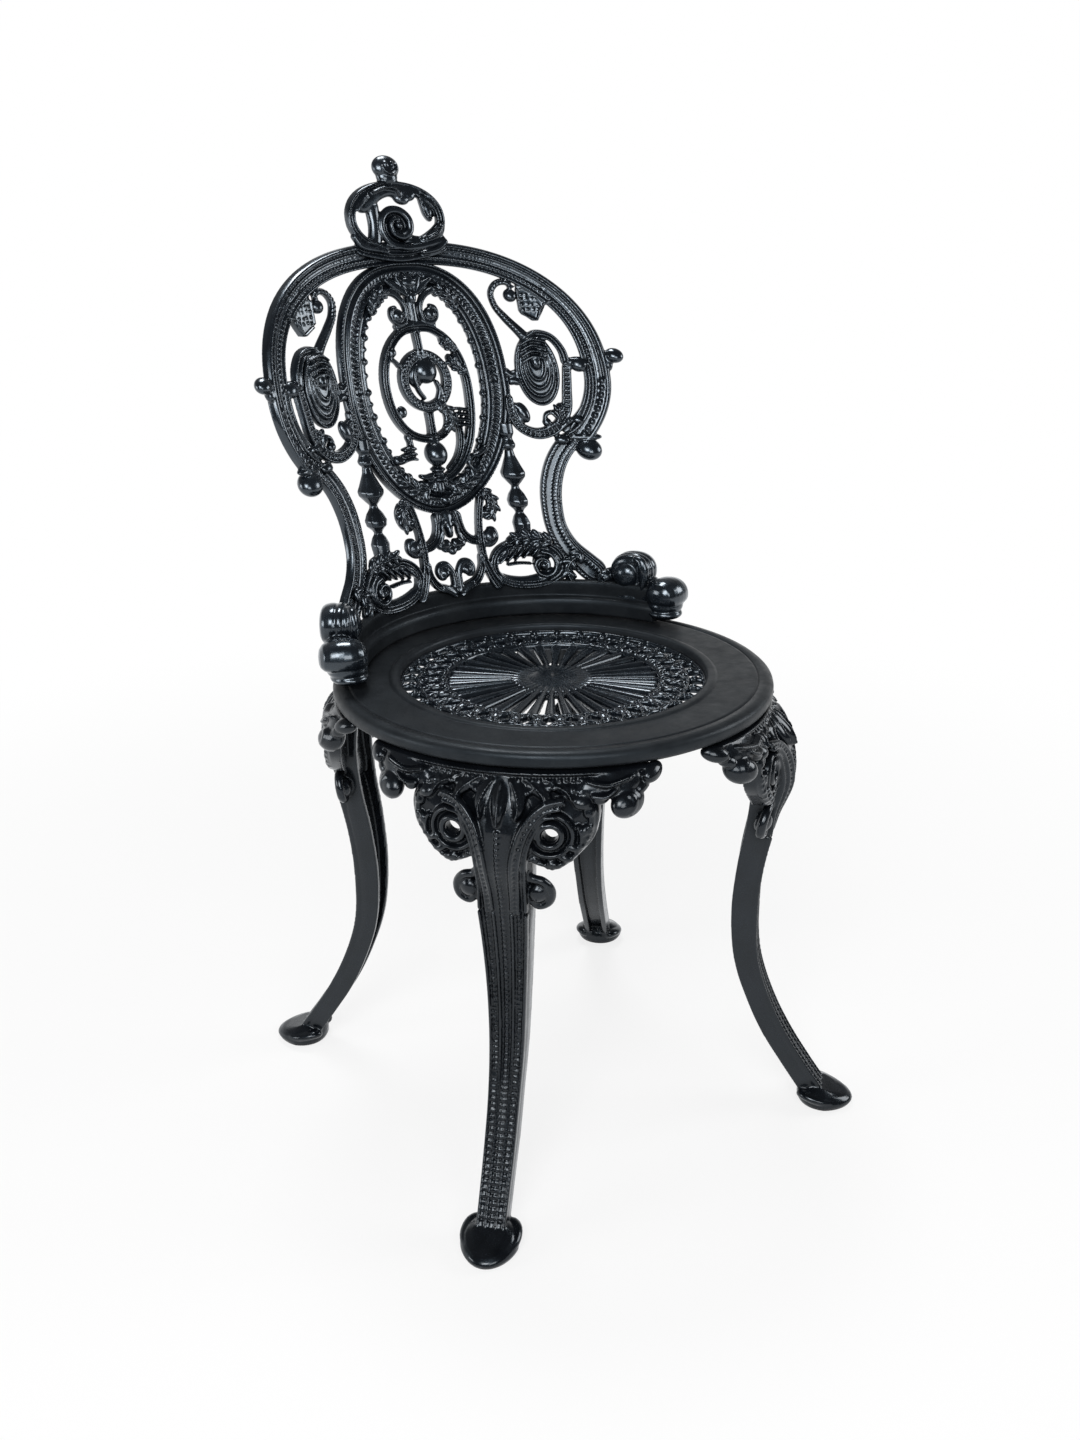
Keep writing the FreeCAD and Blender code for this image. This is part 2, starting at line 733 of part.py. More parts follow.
def make_back():
    """The back: pierced ornament on the barrel, raised beads, balls, drops, crown and base band."""
    pattern = frame_outline() + base_outline() + centre_outline() + side_outline() + crown_outline()
    pieces = [
        barrel_layer("lattice", pattern, "lattice_front", "lattice_rear"),
        base_band(),
    ]
    tip = amount("crown_height + crown_half_height + finial_half_height") + 3
    wide = amount("finial_radius")
    tall = amount("finial_half_height")
    centre = barrel_point(0, tip)
    profile = [(-tall, wide * 0.6), (-tall * 0.5, wide * 0.9), (0, wide),
               (tall * 0.6, wide * 0.75), (tall, wide * 0.3)]
    pieces.append(turned("finial", profile, 12, centre, barrel_point(0, tip + tall) - centre))
    shoulder = amount("hoop_shoulder")
    half = amount("hoop_half_width")
    for side, word in ((-1, "left"), (1, "right")):
        place = (side * (half + 5.5), shoulder + 15)
        pieces.append(ball("upper_knob_" + word, *place, amount("upper_knob_radius")))
        place = (side * (half - 29.5), shoulder - 75)
        pieces.append(ball("lower_knob_" + word, *place, amount("lower_knob_radius")))
        pieces.append(turned_drop(side))
        radius = amount("upper_scroll_radius")
        pieces.append(end_scroll("upper_scroll_" + word, 90 - side * 58.5, 49, radius))
        radius = amount("lower_scroll_radius")
        pieces.append(end_scroll("lower_scroll_" + word, 90 - side * 74, 26, radius))
    pieces.append(ball("medallion_ball", 3, 243, 11.5, -3))
    pieces.append(ball("stem_ball", 0, 165, 12))
    casting = doc.addObject("Part::MultiFuse", "back_casting")
    casting.Shapes = pieces
    doc.recompute()
    return casting


# Legs


# Stations up a leg: height, inner and outer distance from the seat's axis, and width across.
LEG_STATIONS = (
    (15, 248, 271, 26), (45, 228, 249, 27), (72, 211, 232, 28), (110, 193, 213, 29),
    (152, 179, 199, 32), (205, 173.5, 195, 36), (258, 177, 199, 42), (305, 184, 209, 48),
    (345, 186, 222, 50), (386, 180, 214, 48),
)
# Levels down the front of a leg's head: height and distance from the seat's axis.
HEAD_LEVELS = ((386, 205), (345, 207), (290, 201))
HEAD_FACETS = 5
HEAD_SPAN_DEGREES = 78


def leg_section(height, inner, outer, width):
    """The channel section of a leg: a broad front with bevelled corners and two side walls."""
    half = width / 2
    bevel = amount("leg_corner")
    wall = amount("leg_wall")
    face = outer - amount("leg_face")
    right = [(inner, half), (outer - bevel, half), (outer, half - bevel)]
    hollow = [(face, half - wall), (inner, half - wall)]
    corners = right + [(depth, -across) for depth, across in right[::-1]]
    corners += [(depth, -across) for depth, across in hollow[::-1]] + hollow
    return [Vector(depth, across, height) for depth, across in corners]


def stacked(name, sections):
    """A solid through polygons of equal count, one above the other."""
    faces = [Part.Face(Part.makePolygon(end + end[:1])) for end in (sections[0], sections[-1])]
    for here, there in zip(sections, sections[1:]):
        for i in range(len(here)):
            j = (i + 1) % len(here)
            faces.append(Part.Face(Part.makePolygon([here[i], here[j], there[j], there[i], here[i]])))
    piece = doc.addObject("Part::Feature", name)
    piece.Shape = Part.makeSolid(Part.makeShell(faces))
    return piece


def side_box(left, right, low, high):
    """A flat rectangle that faces away from the seat."""
    corners = [Vector(0, left, low), Vector(0, right, low), Vector(0, right, high), Vector(0, left, high)]
    return Part.Face(Part.makePolygon(corners + corners[:1]))


def side_disc(across, height, half_width, half_height, sides):
    """A flat ellipse that faces away from the seat, in short facets."""
    corners = []
    for i in range(sides):
        angle = 2 * math.pi * (i + 0.5) / sides
        corners.append(Vector(0, across + half_width * math.cos(angle), height + half_height * math.sin(angle)))
    return Part.Face(Part.makePolygon(corners + corners[:1]))


def head_outline():
    """The front view of a leg's head: lobes, curls and the apron wings under the seat rim."""
    top = amount("seat_height - rim_depth")
    wing = amount("wing_half_span")
    faces = [side_box(-wing, wing, top - 14, top + 1), side_box(-24, 24, 300, top - 6)]
    holes = []
    for side in (-1, 1):
        faces.append(side_disc(side * wing, top - 7, 8, 8, 6))
        faces.append(side_disc(side * (wing - 17), top - 26, 13, 13, 8))
        faces.append(side_disc(side * 41, 368, 29, 37, 14))
        faces.append(side_disc(side * 31.5, 304.5, 12.5, 12.5, 8))
        faces.append(side_box(min(side * 14, side * 30), max(side * 14, side * 30), 308, 345))
        holes.append(side_disc(side * 40, 362.5, amount("eye_radius"), amount("eye_radius"), 8))
    outline = faces[0].multiFuse(faces[1:]).cut(Part.makeCompound(holes))
    return Part.makeShell(outline.Faces).removeSplitter()


def head_shell():
    """The curved plate that a leg's head is cut from, round the seat's axis."""
    top = amount("seat_height - rim_depth")
    levels = [(top, amount("rim_radius - lip_inset"))] + list(HEAD_LEVELS)
    thick = amount("head_thickness")
    section = [(reach, height) for height, reach in levels]
    section += [(reach - thick, height) for height, reach in levels[::-1]]
    sections = []
    for i in range(HEAD_FACETS + 1):
        turn = FreeCAD.Rotation(UP, HEAD_SPAN_DEGREES * (i / HEAD_FACETS - 0.5))
        sections.append([turn.multVec(Vector(reach, 0, height)) for reach, height in section])
    return stacked("leg_head_shell", sections)


def placed_box(name, length, width, height, near, low):
    """A box across the leg's own plane, all its sizes and places sums of named sizes."""
    box = doc.addObject("Part::Box", name)
    box.setExpression("Length", bound(length))
    box.setExpression("Width", bound(width))
    box.setExpression("Height", bound(height))
    box.setExpression("Placement.Base.x", bound(near))
    box.setExpression("Placement.Base.y", "-(%s) / 2" % bound(width))
    box.setExpression("Placement.Base.z", bound(low))
    return box


def make_leg():
    """One leg casting, standing in the plane that points away from the seat along X."""
    top = amount("seat_height - rim_depth")
    stations = list(LEG_STATIONS) + [(top, 169, amount("rim_radius - lip_inset"), 46)]
    post = stacked("leg_post", [leg_section(*station) for station in stations])

    outline = doc.addObject("Part::Feature", "leg_head_outline")
    outline.Shape = head_outline()
    prism = doc.addObject("Part::Extrusion", "leg_head_prism")
    prism.Base = outline
    prism.DirMode = "Custom"
    prism.Dir = Vector(1, 0, 0)
    prism.setExpression("LengthFwd", "sizes.rim_radius + sizes.foot_reach")
    prism.Solid = True
    head = doc.addObject("Part::Common", "leg_head")
    head.Base = prism
    head.Tool = head_shell()

    flange = placed_box("leg_flange", "rim_radius - lip_inset - head_thickness - flange_inner + skirt_wall",
                        "flange_width", "flange_thickness", "flange_inner",
                        "seat_height - rim_depth - flange_thickness")
    radius = amount("foot_radius")
    tall = amount("foot_height")
    edge = amount("foot_edge")
    profile = [(0, amount("foot_sole")), (edge, radius), (edge * 1.7, radius), (tall * 0.75, radius - 6),
               (tall, radius - 14)]
    foot = turned("leg_foot", profile, 12, Vector(amount("foot_reach"), 0, 0), UP)
    notch = placed_box("foot_notch", "foot_notch + foot_notch", "foot_notch", "foot_notch + foot_notch",
                       "foot_reach - foot_radius - foot_notch", "0 - foot_notch")

    casting = doc.addObject("Part::MultiFuse", "leg_casting")
    casting.Shapes = [post, head, flange, foot]
    thick = amount("flange_thickness")
    hole = bolt_bar("leg_bolt_hole", "leg_bolt_radius + hole_clearance",
                    Vector(amount("leg_bolt_circle"), 0, top - 2 * thick), thick * 3)
    cutters = doc.addObject("Part::Compound", "leg_cutters")
    cutters.Links = [notch, hole]
    leg = doc.addObject("Part::Cut", "leg_pattern")
    leg.Base = casting
    leg.Tool = cutters
    doc.recompute()
    return leg


# Fasteners


def make_bolt(kind):
    """A hexagon bolt that points up, with the underside of its head's flange at the ground plane."""
    shank = bolt_bar(kind + "_shank", kind + "_radius", Vector(0, 0, 0), amount(kind + "_length"))
    head = doc.addObject("Part::Prism", kind + "_hexagon")
    head.Polygon = 6
    head.setExpression("Circumradius", "sizes.%s_flats / sqrt(3)" % kind)
    head.setExpression("Height", bound(kind + "_head"))
    head.Placement.Base = Vector(0, 0, -amount(kind + "_head"))
    bolt = doc.addObject("Part::Fuse", kind + "_pattern")
    bolt.Base = head
    bolt.Tool = shank
    doc.recompute()
    return bolt


def make_bolts(kind, azimuths):
    """Equal bolts at their azimuths round the seat's axis, as separate solids of one sub-part."""
    bolt = make_bolt(kind)
    group = []
    for azimuth in azimuths:
        across, forward = on_circle(amount(kind + "_circle"), azimuth)
        group.append(repeated("%s_at_%d" % (kind, azimuth), bolt, 0, Vector(across, forward, 0)))
    bolts = doc.addObject("Part::Compound", kind + "s")
    bolts.Links = group
    return bolts


def repeated(name, pattern, azimuth, base):
    """A copy of a pattern piece, turned about its own origin and moved to a place."""
    copy = doc.addObject("Part::Compound", name)
    copy.Links = [pattern]
    copy.Placement = FreeCAD.Placement(base, FreeCAD.Rotation(UP, azimuth))
    return copy


# Assembly


def assemble():
    """All sub-parts in the shared frame: floor at zero, origin under the middle of the bounding box."""
    rim_top = amount("seat_height")
    skirt = amount("seat_height - rim_depth")
    seat = make_seat()
    back = make_back()
    leg = make_leg()
    parts = {"seat": (seat, skirt), "back": (back, rim_top)}
    for name, azimuth in LEG_AZIMUTHS.items():
        parts[name] = (repeated(name, leg, azimuth, Vector(0, 0, 0)), 0)
    parts["leg_bolts"] = (make_bolts("leg_bolt", LEG_AZIMUTHS.values()), skirt - amount("flange_thickness"))
    parts["back_bolts"] = (make_bolts("back_bolt", BACK_BOLT_AZIMUTHS), skirt + amount("rim_depth - rim_wall"))
    doc.recompute()
    ends = []
    for piece, height in parts.values():
        ends += [piece.Shape.BoundBox.YMin, piece.Shape.BoundBox.YMax]
    shift = -(min(ends) + max(ends)) / 2
    for name, (piece, height) in parts.items():
        piece.Label = name
        piece.Placement.Base = piece.Placement.Base + Vector(0, shift, height)
    doc.recompute()
    return {name: piece for name, (piece, height) in parts.items()}


def check_document(parts):
    """Stops the build if any object failed or any sub-part is empty or unsound."""
    for item in doc.Objects:
        assert not {"Invalid", "Error"} & set(item.State), item.Name
    for name, piece in parts.items():
        assert not piece.Shape.isNull() and piece.Shape.isValid(), name


parts = assemble()
check_document(parts)
os.makedirs("parts", exist_ok=True)
for name, piece in parts.items():
    piece.Shape.exportStep("parts/%s.step" % name)
    volume = round(piece.Shape.Volume / 1000, 1)
    print(name, "solids", len(piece.Shape.Solids), "volume", volume, "cubic centimetres")
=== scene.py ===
import math
import random

import bpy
import numpy as np
from mathutils import Matrix, Vector


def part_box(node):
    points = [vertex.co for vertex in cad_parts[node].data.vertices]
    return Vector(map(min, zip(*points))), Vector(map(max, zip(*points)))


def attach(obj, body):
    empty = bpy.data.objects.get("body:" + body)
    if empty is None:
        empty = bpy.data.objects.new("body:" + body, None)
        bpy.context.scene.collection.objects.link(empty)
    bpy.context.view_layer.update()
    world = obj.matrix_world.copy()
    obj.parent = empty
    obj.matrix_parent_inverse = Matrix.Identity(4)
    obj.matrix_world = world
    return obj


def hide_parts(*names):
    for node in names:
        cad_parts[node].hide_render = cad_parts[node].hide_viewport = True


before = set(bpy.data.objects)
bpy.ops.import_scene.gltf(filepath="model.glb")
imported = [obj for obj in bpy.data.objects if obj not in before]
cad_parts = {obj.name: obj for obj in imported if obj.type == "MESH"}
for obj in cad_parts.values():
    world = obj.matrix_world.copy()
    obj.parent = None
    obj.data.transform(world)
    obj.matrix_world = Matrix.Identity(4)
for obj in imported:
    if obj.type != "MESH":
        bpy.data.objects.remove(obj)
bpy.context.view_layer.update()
seat_low, seat_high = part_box("seat")

# Where the seat's axis and its top face are, in metres, and the working unit of all forms below.
AXIS_Y = (seat_low[1] + seat_high[1]) / 2
SEAT_TOP = seat_high[2]
MM = 0.001

# Camera, found from the photograph: its height and focal length in pixels, degrees, and metres
# from the seat's axis at its top face.
PHOTO_HEIGHT = 1440
FOCAL_PIXELS = 1406.75
AZIMUTH, ELEVATION, ROLL = (math.radians(angle) for angle in (-32.65, 21.27, -0.37))
DISTANCE, SLIDE_RIGHT, SLIDE_UP = 1.28744, -0.01185, -0.04645

# The back's barrel, as in the model: radius at the seat top, axis forward of the seat's, lean.
BARREL_RADIUS, BARREL_SETBACK, BARREL_FLARE = 227, 60, 0.3
# Depths of the back's face and of its flat rear, from the barrel's middle.
FACE_DEPTH, REAR_DEPTH = 4, -4
# Voxel sizes in millimetres that fuse overlapping forms into one casting, and its most triangles.
FINE, COARSE = 0.85, 1.0
MOST_TRIANGLES = 190000
dice = random.Random(7)


# Laying out forms


def on_barrel(points):
    """Bends rows of (across, height, depth to the front) onto the back's leaning barrel."""
    across, height, depth = points.T
    radius = BARREL_RADIUS + BARREL_FLARE * height
    turn = np.arcsin(np.clip(across / (radius - FACE_DEPTH), -1, 1))
    reach = radius - depth
    return np.stack([reach * np.sin(turn), reach * np.cos(turn) - BARREL_SETBACK, height], 1)


class Form:
    """Closed bodies that overlap, gathered for one casting and bent onto its surface."""

    def __init__(self, bend):
        self.bend = bend
        self.points = []
        self.faces = []
        self.count = 0

    def add(self, rings, closed=False):
        """A body from equal rings of (across, height, depth) points, one behind the other."""
        rings = np.asarray(rings, float)
        number, around = rings.shape[:2]
        index = self.count + np.arange(number * around).reshape(number, around)
        self.points.append(self.bend(rings.reshape(-1, 3)))
        self.count += number * around
        here = index if closed else index[:-1]
        there = np.roll(index, -1, 0) if closed else index[1:]
        quads = np.stack([here, np.roll(here, -1, 1), np.roll(there, -1, 1), there], -1)
        self.faces += quads.reshape(-1, 4).tolist()
        if not closed:
            self.faces += [index[0][::-1].tolist(), index[-1].tolist()]


def through(rows, step):
    """A smooth line through rows of numbers, the first two of them a place, in short steps."""
    rows = np.array(rows, float)
    knots = np.append(0, np.cumsum(np.hypot(*np.diff(rows[:, :2], axis=0).T)))
    slopes = np.gradient(rows, knots, axis=0)
    stops = np.linspace(0, knots[-1], max(4, round(knots[-1] / step)))
    low = np.clip(np.searchsorted(knots, stops, side="right") - 1, 0, len(knots) - 2)
    run = (knots[low + 1] - knots[low])[:, None]
    part = (stops - knots[low])[:, None] / run
    rest = 1 - part
    start = (1 + 2 * part) * rest ** 2 * rows[low] + part * rest ** 2 * run * slopes[low]
    end = part ** 2 * (3 - 2 * part) * rows[low + 1] - part ** 2 * rest * run * slopes[low + 1]
    return start + end


def headings(place, closed=False):
    """The direction of travel at each place of a line."""
    if closed:
        ahead = np.roll(place, -1, 0) - np.roll(place, 1, 0)
    else:
        ahead = np.gradient(place, axis=0)
    return ahead / np.hypot(*ahead.T)[:, None]


def turns(count):
    """Equal steps round a full turn."""
    return np.linspace(0, 2 * math.pi, count, endpoint=False)


TUBE = [(math.cos(angle), 0.4 + 4.4 * math.sin(angle)) for angle in turns(14)]


def sweep(form, rows, section=TUBE, closed=False, step=1.6):
    """A bar with a section of (share of half width, depth) along (across, height, width, lift)."""
    line = np.array(rows, float) if closed else through(rows, step)
    place, half = line[:, :2], line[:, 2] / 2
    lift = line[:, 3] if line.shape[1] > 3 else np.zeros(len(line))
    ahead = headings(place, closed)
    size = np.ones(len(line))
    if not closed:
        run = np.append(0, np.cumsum(np.hypot(*np.diff(place, axis=0).T)))
        near = np.clip(np.minimum(run, run[-1] - run) / half, 0, 1)
        size = np.sqrt(1 - (1 - near) ** 2).clip(0.06, 1)
    share, depth = np.array(section, float).T
    out = (half * size)[:, None] * share
    rings = np.empty((len(line), len(share), 3))
    rings[:, :, 0] = place[:, :1] - ahead[:, 1:] * out
    rings[:, :, 1] = place[:, 1:] + ahead[:, :1] * out
    rings[:, :, 2] = depth * size[:, None] + lift[:, None]
    form.add(rings, closed)


def ball_rings(count, sides):
    """A unit ball as rings about its first axis."""
    rings = []
    for up in np.radians(np.linspace(-80, 80, count)):
        wide = math.cos(up)
        rings.append([(math.sin(up), wide * math.cos(turn), wide * math.sin(turn)) for turn in turns(sides)])
    return np.array(rings)


# Small bodies are coarse balls, and those longer than BEAD_LIMIT are fine ones.
BEAD, BALL = ball_rings(7, 10), ball_rings(17, 32)
BEAD_LIMIT = 6


def blob(form, place, depth, size, angle=0.0):
    """A rounded body: size is (along, across, deep), its long way turned from level."""
    rings = (BALL if max(size) > BEAD_LIMIT else BEAD) * size
    turned = rings.copy()
    turned[:, :, 0] = place[0] + rings[:, :, 0] * math.cos(angle) - rings[:, :, 1] * math.sin(angle)
    turned[:, :, 1] = place[1] + rings[:, :, 0] * math.sin(angle) + rings[:, :, 1] * math.cos(angle)
    turned[:, :, 2] += depth
    form.add(turned)


def along(rows, share, spacing, closed=False):
    """Evenly spaced places beside a line, at a share of its half width, with their headings."""
    line = np.array(rows, float) if closed else through(rows, spacing)
    ahead = headings(line[:, :2], closed)
    side = np.stack([-ahead[:, 1], ahead[:, 0]], 1)
    place = line[:, :2] + side * (line[:, 2] / 2 * share)[:, None]
    lift = line[:, 3] if line.shape[1] > 3 else np.zeros(len(line))
    return [(point, math.atan2(way[1], way[0]), rise) for point, way, rise in zip(place, ahead, lift)]


def beads(form, rows, share, spacing, size, depth=4.5, slant=0.0, closed=False):
    """A row of beads or slanted strands beside a line. A single size stands for a round bead."""
    size = (size, size, size) if isinstance(size, (int, float)) else size
    for place, heading, lift in along(rows, share, spacing, closed):
        blob(form, place, depth + lift, size, heading + slant)


def leaf(form, rows, lobes, depth=2.0):
    """A carved leaf: a crowned blade with a vein and rounded lobes down both sides."""
    sweep(form, rows, DOME)
    spacing = max(2.0, np.hypot(*np.diff(np.array(rows)[:, :2], axis=0).T).sum() / lobes)
    for share, slant in ((0.75, 0.7), (-0.75, -0.7)):
        for place, heading, lift in along(rows, share, spacing)[:-1]:
            reach = 0.36 * spacing + 1.6
            blob(form, place, depth + lift + 1, (reach * 1.3, reach * 0.6, 3.2), heading + slant)
    sweep(form, [(*row[:2], 1.8, (row[3] if len(row) > 3 else 0) + 2.2) for row in rows])


def sided(side, rows):
    """Rows as given for side 1, and mirrored for side -1."""
    return [(side * row[0], *row[1:]) for row in rows]


def mirrored(rows):
    return sided(-1, rows)


def both(action, form, rows, *rest, **more):
    """Does something with a line and with its mirror image."""
    action(form, rows, *rest, **more)
    action(form, mirrored(rows), *rest, **more)


def both_blobs(form, place, *rest):
    blob(form, place, *rest)
    blob(form, (-place[0], place[1]), *rest)


def flat_backed(front):
    """A closed section from the (share of half width, depth) points of its front."""
    return [(front[0][0], REAR_DEPTH + 1), (front[0][0] * 0.92, REAR_DEPTH)] + \
        [(front[-1][0] * 0.92, REAR_DEPTH), (front[-1][0], REAR_DEPTH + 1)] + front[::-1]


DOME = flat_backed([(-1, 0), (-0.85, 2.2), (-0.5, 4), (0, 4.8), (0.5, 4), (0.85, 2.2), (1, 0)])
STRAP = flat_backed([(-1, 1), (-0.9, 4), (-0.68, 5), (-0.46, 4), (-0.3, 1.8),
                     (0.3, 1.8), (0.46, 4), (0.68, 5), (0.9, 4), (1, 1)])
# The hoop from its inner edge to its outer one.
HOOP = flat_backed([(-1, 1), (-0.94, 4.2), (-0.82, 5), (-0.7, 4.2), (-0.64, 2.8), (0.18, 2.8),
                    (0.26, 4.6), (0.36, 5), (0.44, 4.4), (0.48, 2.8), (0.56, 2.6), (0.62, 4.8),
                    (0.76, 6), (0.92, 5), (1, 2)])
# The oval ring from its outer edge to its inner one.
OVAL = flat_backed([(-1, 1), (-0.95, 4), (-0.88, 5), (-0.8, 4.4), (-0.74, 2.6), (-0.6, 1.8),
                    (-0.44, 2.6), (-0.38, 4.8), (-0.3, 5.2), (-0.22, 4.6), (-0.18, 2.6), (0.2, 2.6),
                    (0.25, 4.6), (0.32, 5.2), (0.4, 4.6), (0.46, 2.6), (0.7, 2.2), (0.76, 3.8),
                    (0.88, 4.2), (1, 2)])


def outline(centre, half_width, upper, lower, fullness=(2.0, 2.0), count=96):
    """Places round an egg, with its own height and fullness above and below its centre."""
    places = []
    for i in range(count):
        angle = 2 * math.pi * i / count
        power = 2 / (fullness[0] if math.sin(angle) > 0 else fullness[1])
        tall = upper if math.sin(angle) > 0 else lower
        across = math.copysign(abs(math.cos(angle)) ** power, math.cos(angle))
        height = math.copysign(abs(math.sin(angle)) ** power, math.sin(angle))
        places.append((centre[0] + half_width * across, centre[1] + tall * height))
    return places


def band_between(outer, inner):
    """Rows down the middle of the band between two outlines of equal count."""
    rows = []
    for (a, b), (c, d) in zip(outer, inner):
        rows.append(((a + c) / 2, (b + d) / 2, math.hypot(a - c, b - d)))
    return rows


def curl(centre, start_radius, end_radius, start, sweep_angle, start_width, end_width, lift=0.0):
    """Rows of a volute that winds in from a start angle in degrees to a narrow end."""
    rows = []
    for i in range(13):
        share = i / 12
        angle = math.radians(start + sweep_angle * share)
        radius = start_radius + (end_radius - start_radius) * share
        rows.append((centre[0] + radius * math.cos(angle), centre[1] + radius * math.sin(angle),
                     start_width + (end_width - start_width) * share, lift))
    return rows


# Making pieces


# The seat's axis at its top face: the origin of all forms but the legs'.
SEAT_AXIS = (0, AXIS_Y, SEAT_TOP)


def new_object(name, data):
    thing = bpy.data.objects.new(name, data)
    bpy.context.scene.collection.objects.link(thing)
    return thing


def new_piece(name, mesh, node, material):
    """A piece that shows in place of a node, in its own material."""
    piece = new_object(name, mesh)
    mesh.materials.append(material)
    mesh.shade_smooth()
    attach(piece, "root")
    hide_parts(node)


def raw_mesh(name, form, base):
    mesh = bpy.data.meshes.new(name)
    mesh.from_pydata((np.concatenate(form.points) * MM + base).tolist(), [], form.faces)
    return mesh


def modified(thing):
    """A new mesh of an object as its modifiers leave it."""
    return bpy.data.meshes.new_from_object(thing.evaluated_get(bpy.context.evaluated_depsgraph_get()))


def fused(name, form, voxel, rounds=2, base=SEAT_AXIS):
    """One skin round all the bodies of a form, softened as iron is by its sand mould."""
    rough = new_object(name + "_rough", raw_mesh(name + "_rough", form, base))
    skin = rough.modifiers.new("skin", "REMESH")
    skin.mode = "VOXEL"
    skin.voxel_size = voxel * MM
    soft = rough.modifiers.new("soft", "SMOOTH")
    soft.factor = 0.5
    soft.iterations = rounds
    mesh = modified(rough)
    # The skin has four-sided faces only, so two triangles each.
    triangles = 2 * len(mesh.polygons)
    if triangles > MOST_TRIANGLES:
        rough.modifiers.clear()
        rough.data = mesh
        rough.modifiers.new("thin", "DECIMATE").ratio = MOST_TRIANGLES / triangles
        mesh = modified(rough)
    mesh.name = name
    bpy.data.objects.remove(rough)
    return mesh


# Back


HOOP_HALF_WIDTH, HOOP_TOP, HOOP_SHOULDER, HOOP_TUCK, HOOP_WIDTH = 181.5, 362, 235, 118, 22
# Degrees round the hoop's right side: its foot, where its fine lines thin out, and its top.
HOOP_FOOT, HOOP_BEND, HOOP_CREST = -34, 40, 90
RING_CENTRE, RING_HALF_WIDTH, RING_HALF_HEIGHT = (0, 225), 90.5, 118
ROSETTE = (118.5, 237)
FINE_LINE = [(math.cos(angle), 2.6 + 1.3 * math.sin(angle)) for angle in turns(8)]
# The posts below the hoop, from its foot in to the waist and out again to the band.
WAIST = [(143, 173, 17), (134, 165, 18), (124, 152, 19), (114.5, 130, 20), (110.5, 104, 20),
         (111.5, 84, 20), (118, 66, 21), (131, 48, 24), (143, 34, 25)]
POST = flat_backed([(-1, 1), (-0.9, 4.4), (-0.76, 5), (-0.62, 4), (-0.54, 2.6), (0.34, 2.6),
                    (0.42, 4.6), (0.54, 5), (0.62, 3.4), (0.7, 2.8), (0.8, 4.8), (0.92, 4.4), (1, 1)])
# The granulated tab, from the hoop down to its point: near side, far side and height.
TAB = [(112, 126, 323), (112, 137, 312), (112, 145, 303), (112, 137, 299), (112, 133, 292), (122, 128, 284)]
TAB_EDGE = [(112, 316, 2.4, 1), (112, 292, 2.4, 1), (127, 284, 2.4, 1), (133, 299, 2.4, 1),
            (146, 303, 2.4, 1)]
TAB_DEPTH = 3.2


def hoop_rows(inset, width, low=HOOP_FOOT, high=HOOP_CREST, count=28):
    """Rows up the hoop's right side, parallel to its outer edge, between two angles."""
    half = HOOP_HALF_WIDTH - inset
    rise = HOOP_TOP - HOOP_SHOULDER - inset
    rows = []
    for degrees in np.linspace(low, high, count):
        angle = math.radians(degrees)
        power = 2 / 2.4 if degrees > 0 else 1
        tall = rise if degrees > 0 else HOOP_TUCK
        across = half * abs(math.cos(angle)) ** power
        height = HOOP_SHOULDER + tall * math.copysign(abs(math.sin(angle)) ** power, angle)
        rows.append((across, height, width))
    return rows


def make_hoop():
    """The hoop with its outer mouldings, granulated band, tabs, knobs and hooks."""
    form = Form(on_barrel)
    right = hoop_rows(HOOP_WIDTH / 2, HOOP_WIDTH)
    rows = mirrored(right)[:-1] + right[::-1]
    sweep(form, rows, HOOP)
    beads(form, rows, -0.36, 4.4, (1.7, 1.5, 1.7), 3.4)
    for inset in (7.6, 10.4, 13.2):
        both(sweep, form, hoop_rows(inset, 1.7, HOOP_FOOT, HOOP_BEND, 16), FINE_LINE)
    for inset in (7.6, 10.4):
        both(sweep, form, hoop_rows(inset, 1.7, HOOP_BEND, HOOP_CREST, 12), FINE_LINE)
    both(sweep, form, WAIST, POST)
    for side in (1, -1):
        beads(form, sided(side, WAIST), 0.3 * side, 3.6, (1.4, 2.6, 1.6), 3.4)
        beads(form, sided(side, WAIST), -0.62 * side, 3.4, 1.2, 4.6)
    add_tabs(form)
    both_blobs(form, (187, 250), 0, (7.5, 7.3, 7.5))
    both_blobs(form, (181, 243), 0, (4, 8, 5))
    both_blobs(form, (152, 160), 0, (11, 11, 11))
    both_blobs(form, (150, 172), 0, (15, 4, 6))
    both(sweep, form, hoop_rows(5, 9, -30, -2, 9))
    for place, heading, lift in along(hoop_rows(6, 9, -30, -4, 9), 0, 6):
        both_blobs(form, (place[0] - 1, place[1]), 3, (3.4, 2.6, 3.4), heading)
    return fused("back_hoop", form, FINE)


def add_tabs(form):
    """The tab under each shoulder of the hoop, with its raised edge and scattered grains."""
    for side in (1, -1):
        slab = []
        for near, far, height in TAB:
            low, high = sorted((near * side, far * side))
            slab.append([(low, height, REAR_DEPTH), (high, height, REAR_DEPTH),
                         (high, height, TAB_DEPTH), (low, height, TAB_DEPTH)])
        form.add(slab)
        edge = sided(side, TAB_EDGE)
        for start, end in zip(edge, edge[1:]):
            sweep(form, [start, end])
    for across in (116, 120.5, 125, 129.5):
        for height in (295, 300, 305, 310, 315):
            spot = (across + dice.uniform(-1, 1), height + dice.uniform(-1, 1))
            both_blobs(form, spot, 2.8, (1.9, 1.4, 1.6), dice.uniform(0, 3))


def ring_rows(count):
    """Rows round the oval ring, between its outer edge and its inner one."""
    outer = outline(RING_CENTRE, RING_HALF_WIDTH, RING_HALF_HEIGHT, RING_HALF_HEIGHT, (2.5, 1.85), count)
    return band_between(outer, outline((0, 228), 61.5, 92, 97, (2.3, 1.9), count))


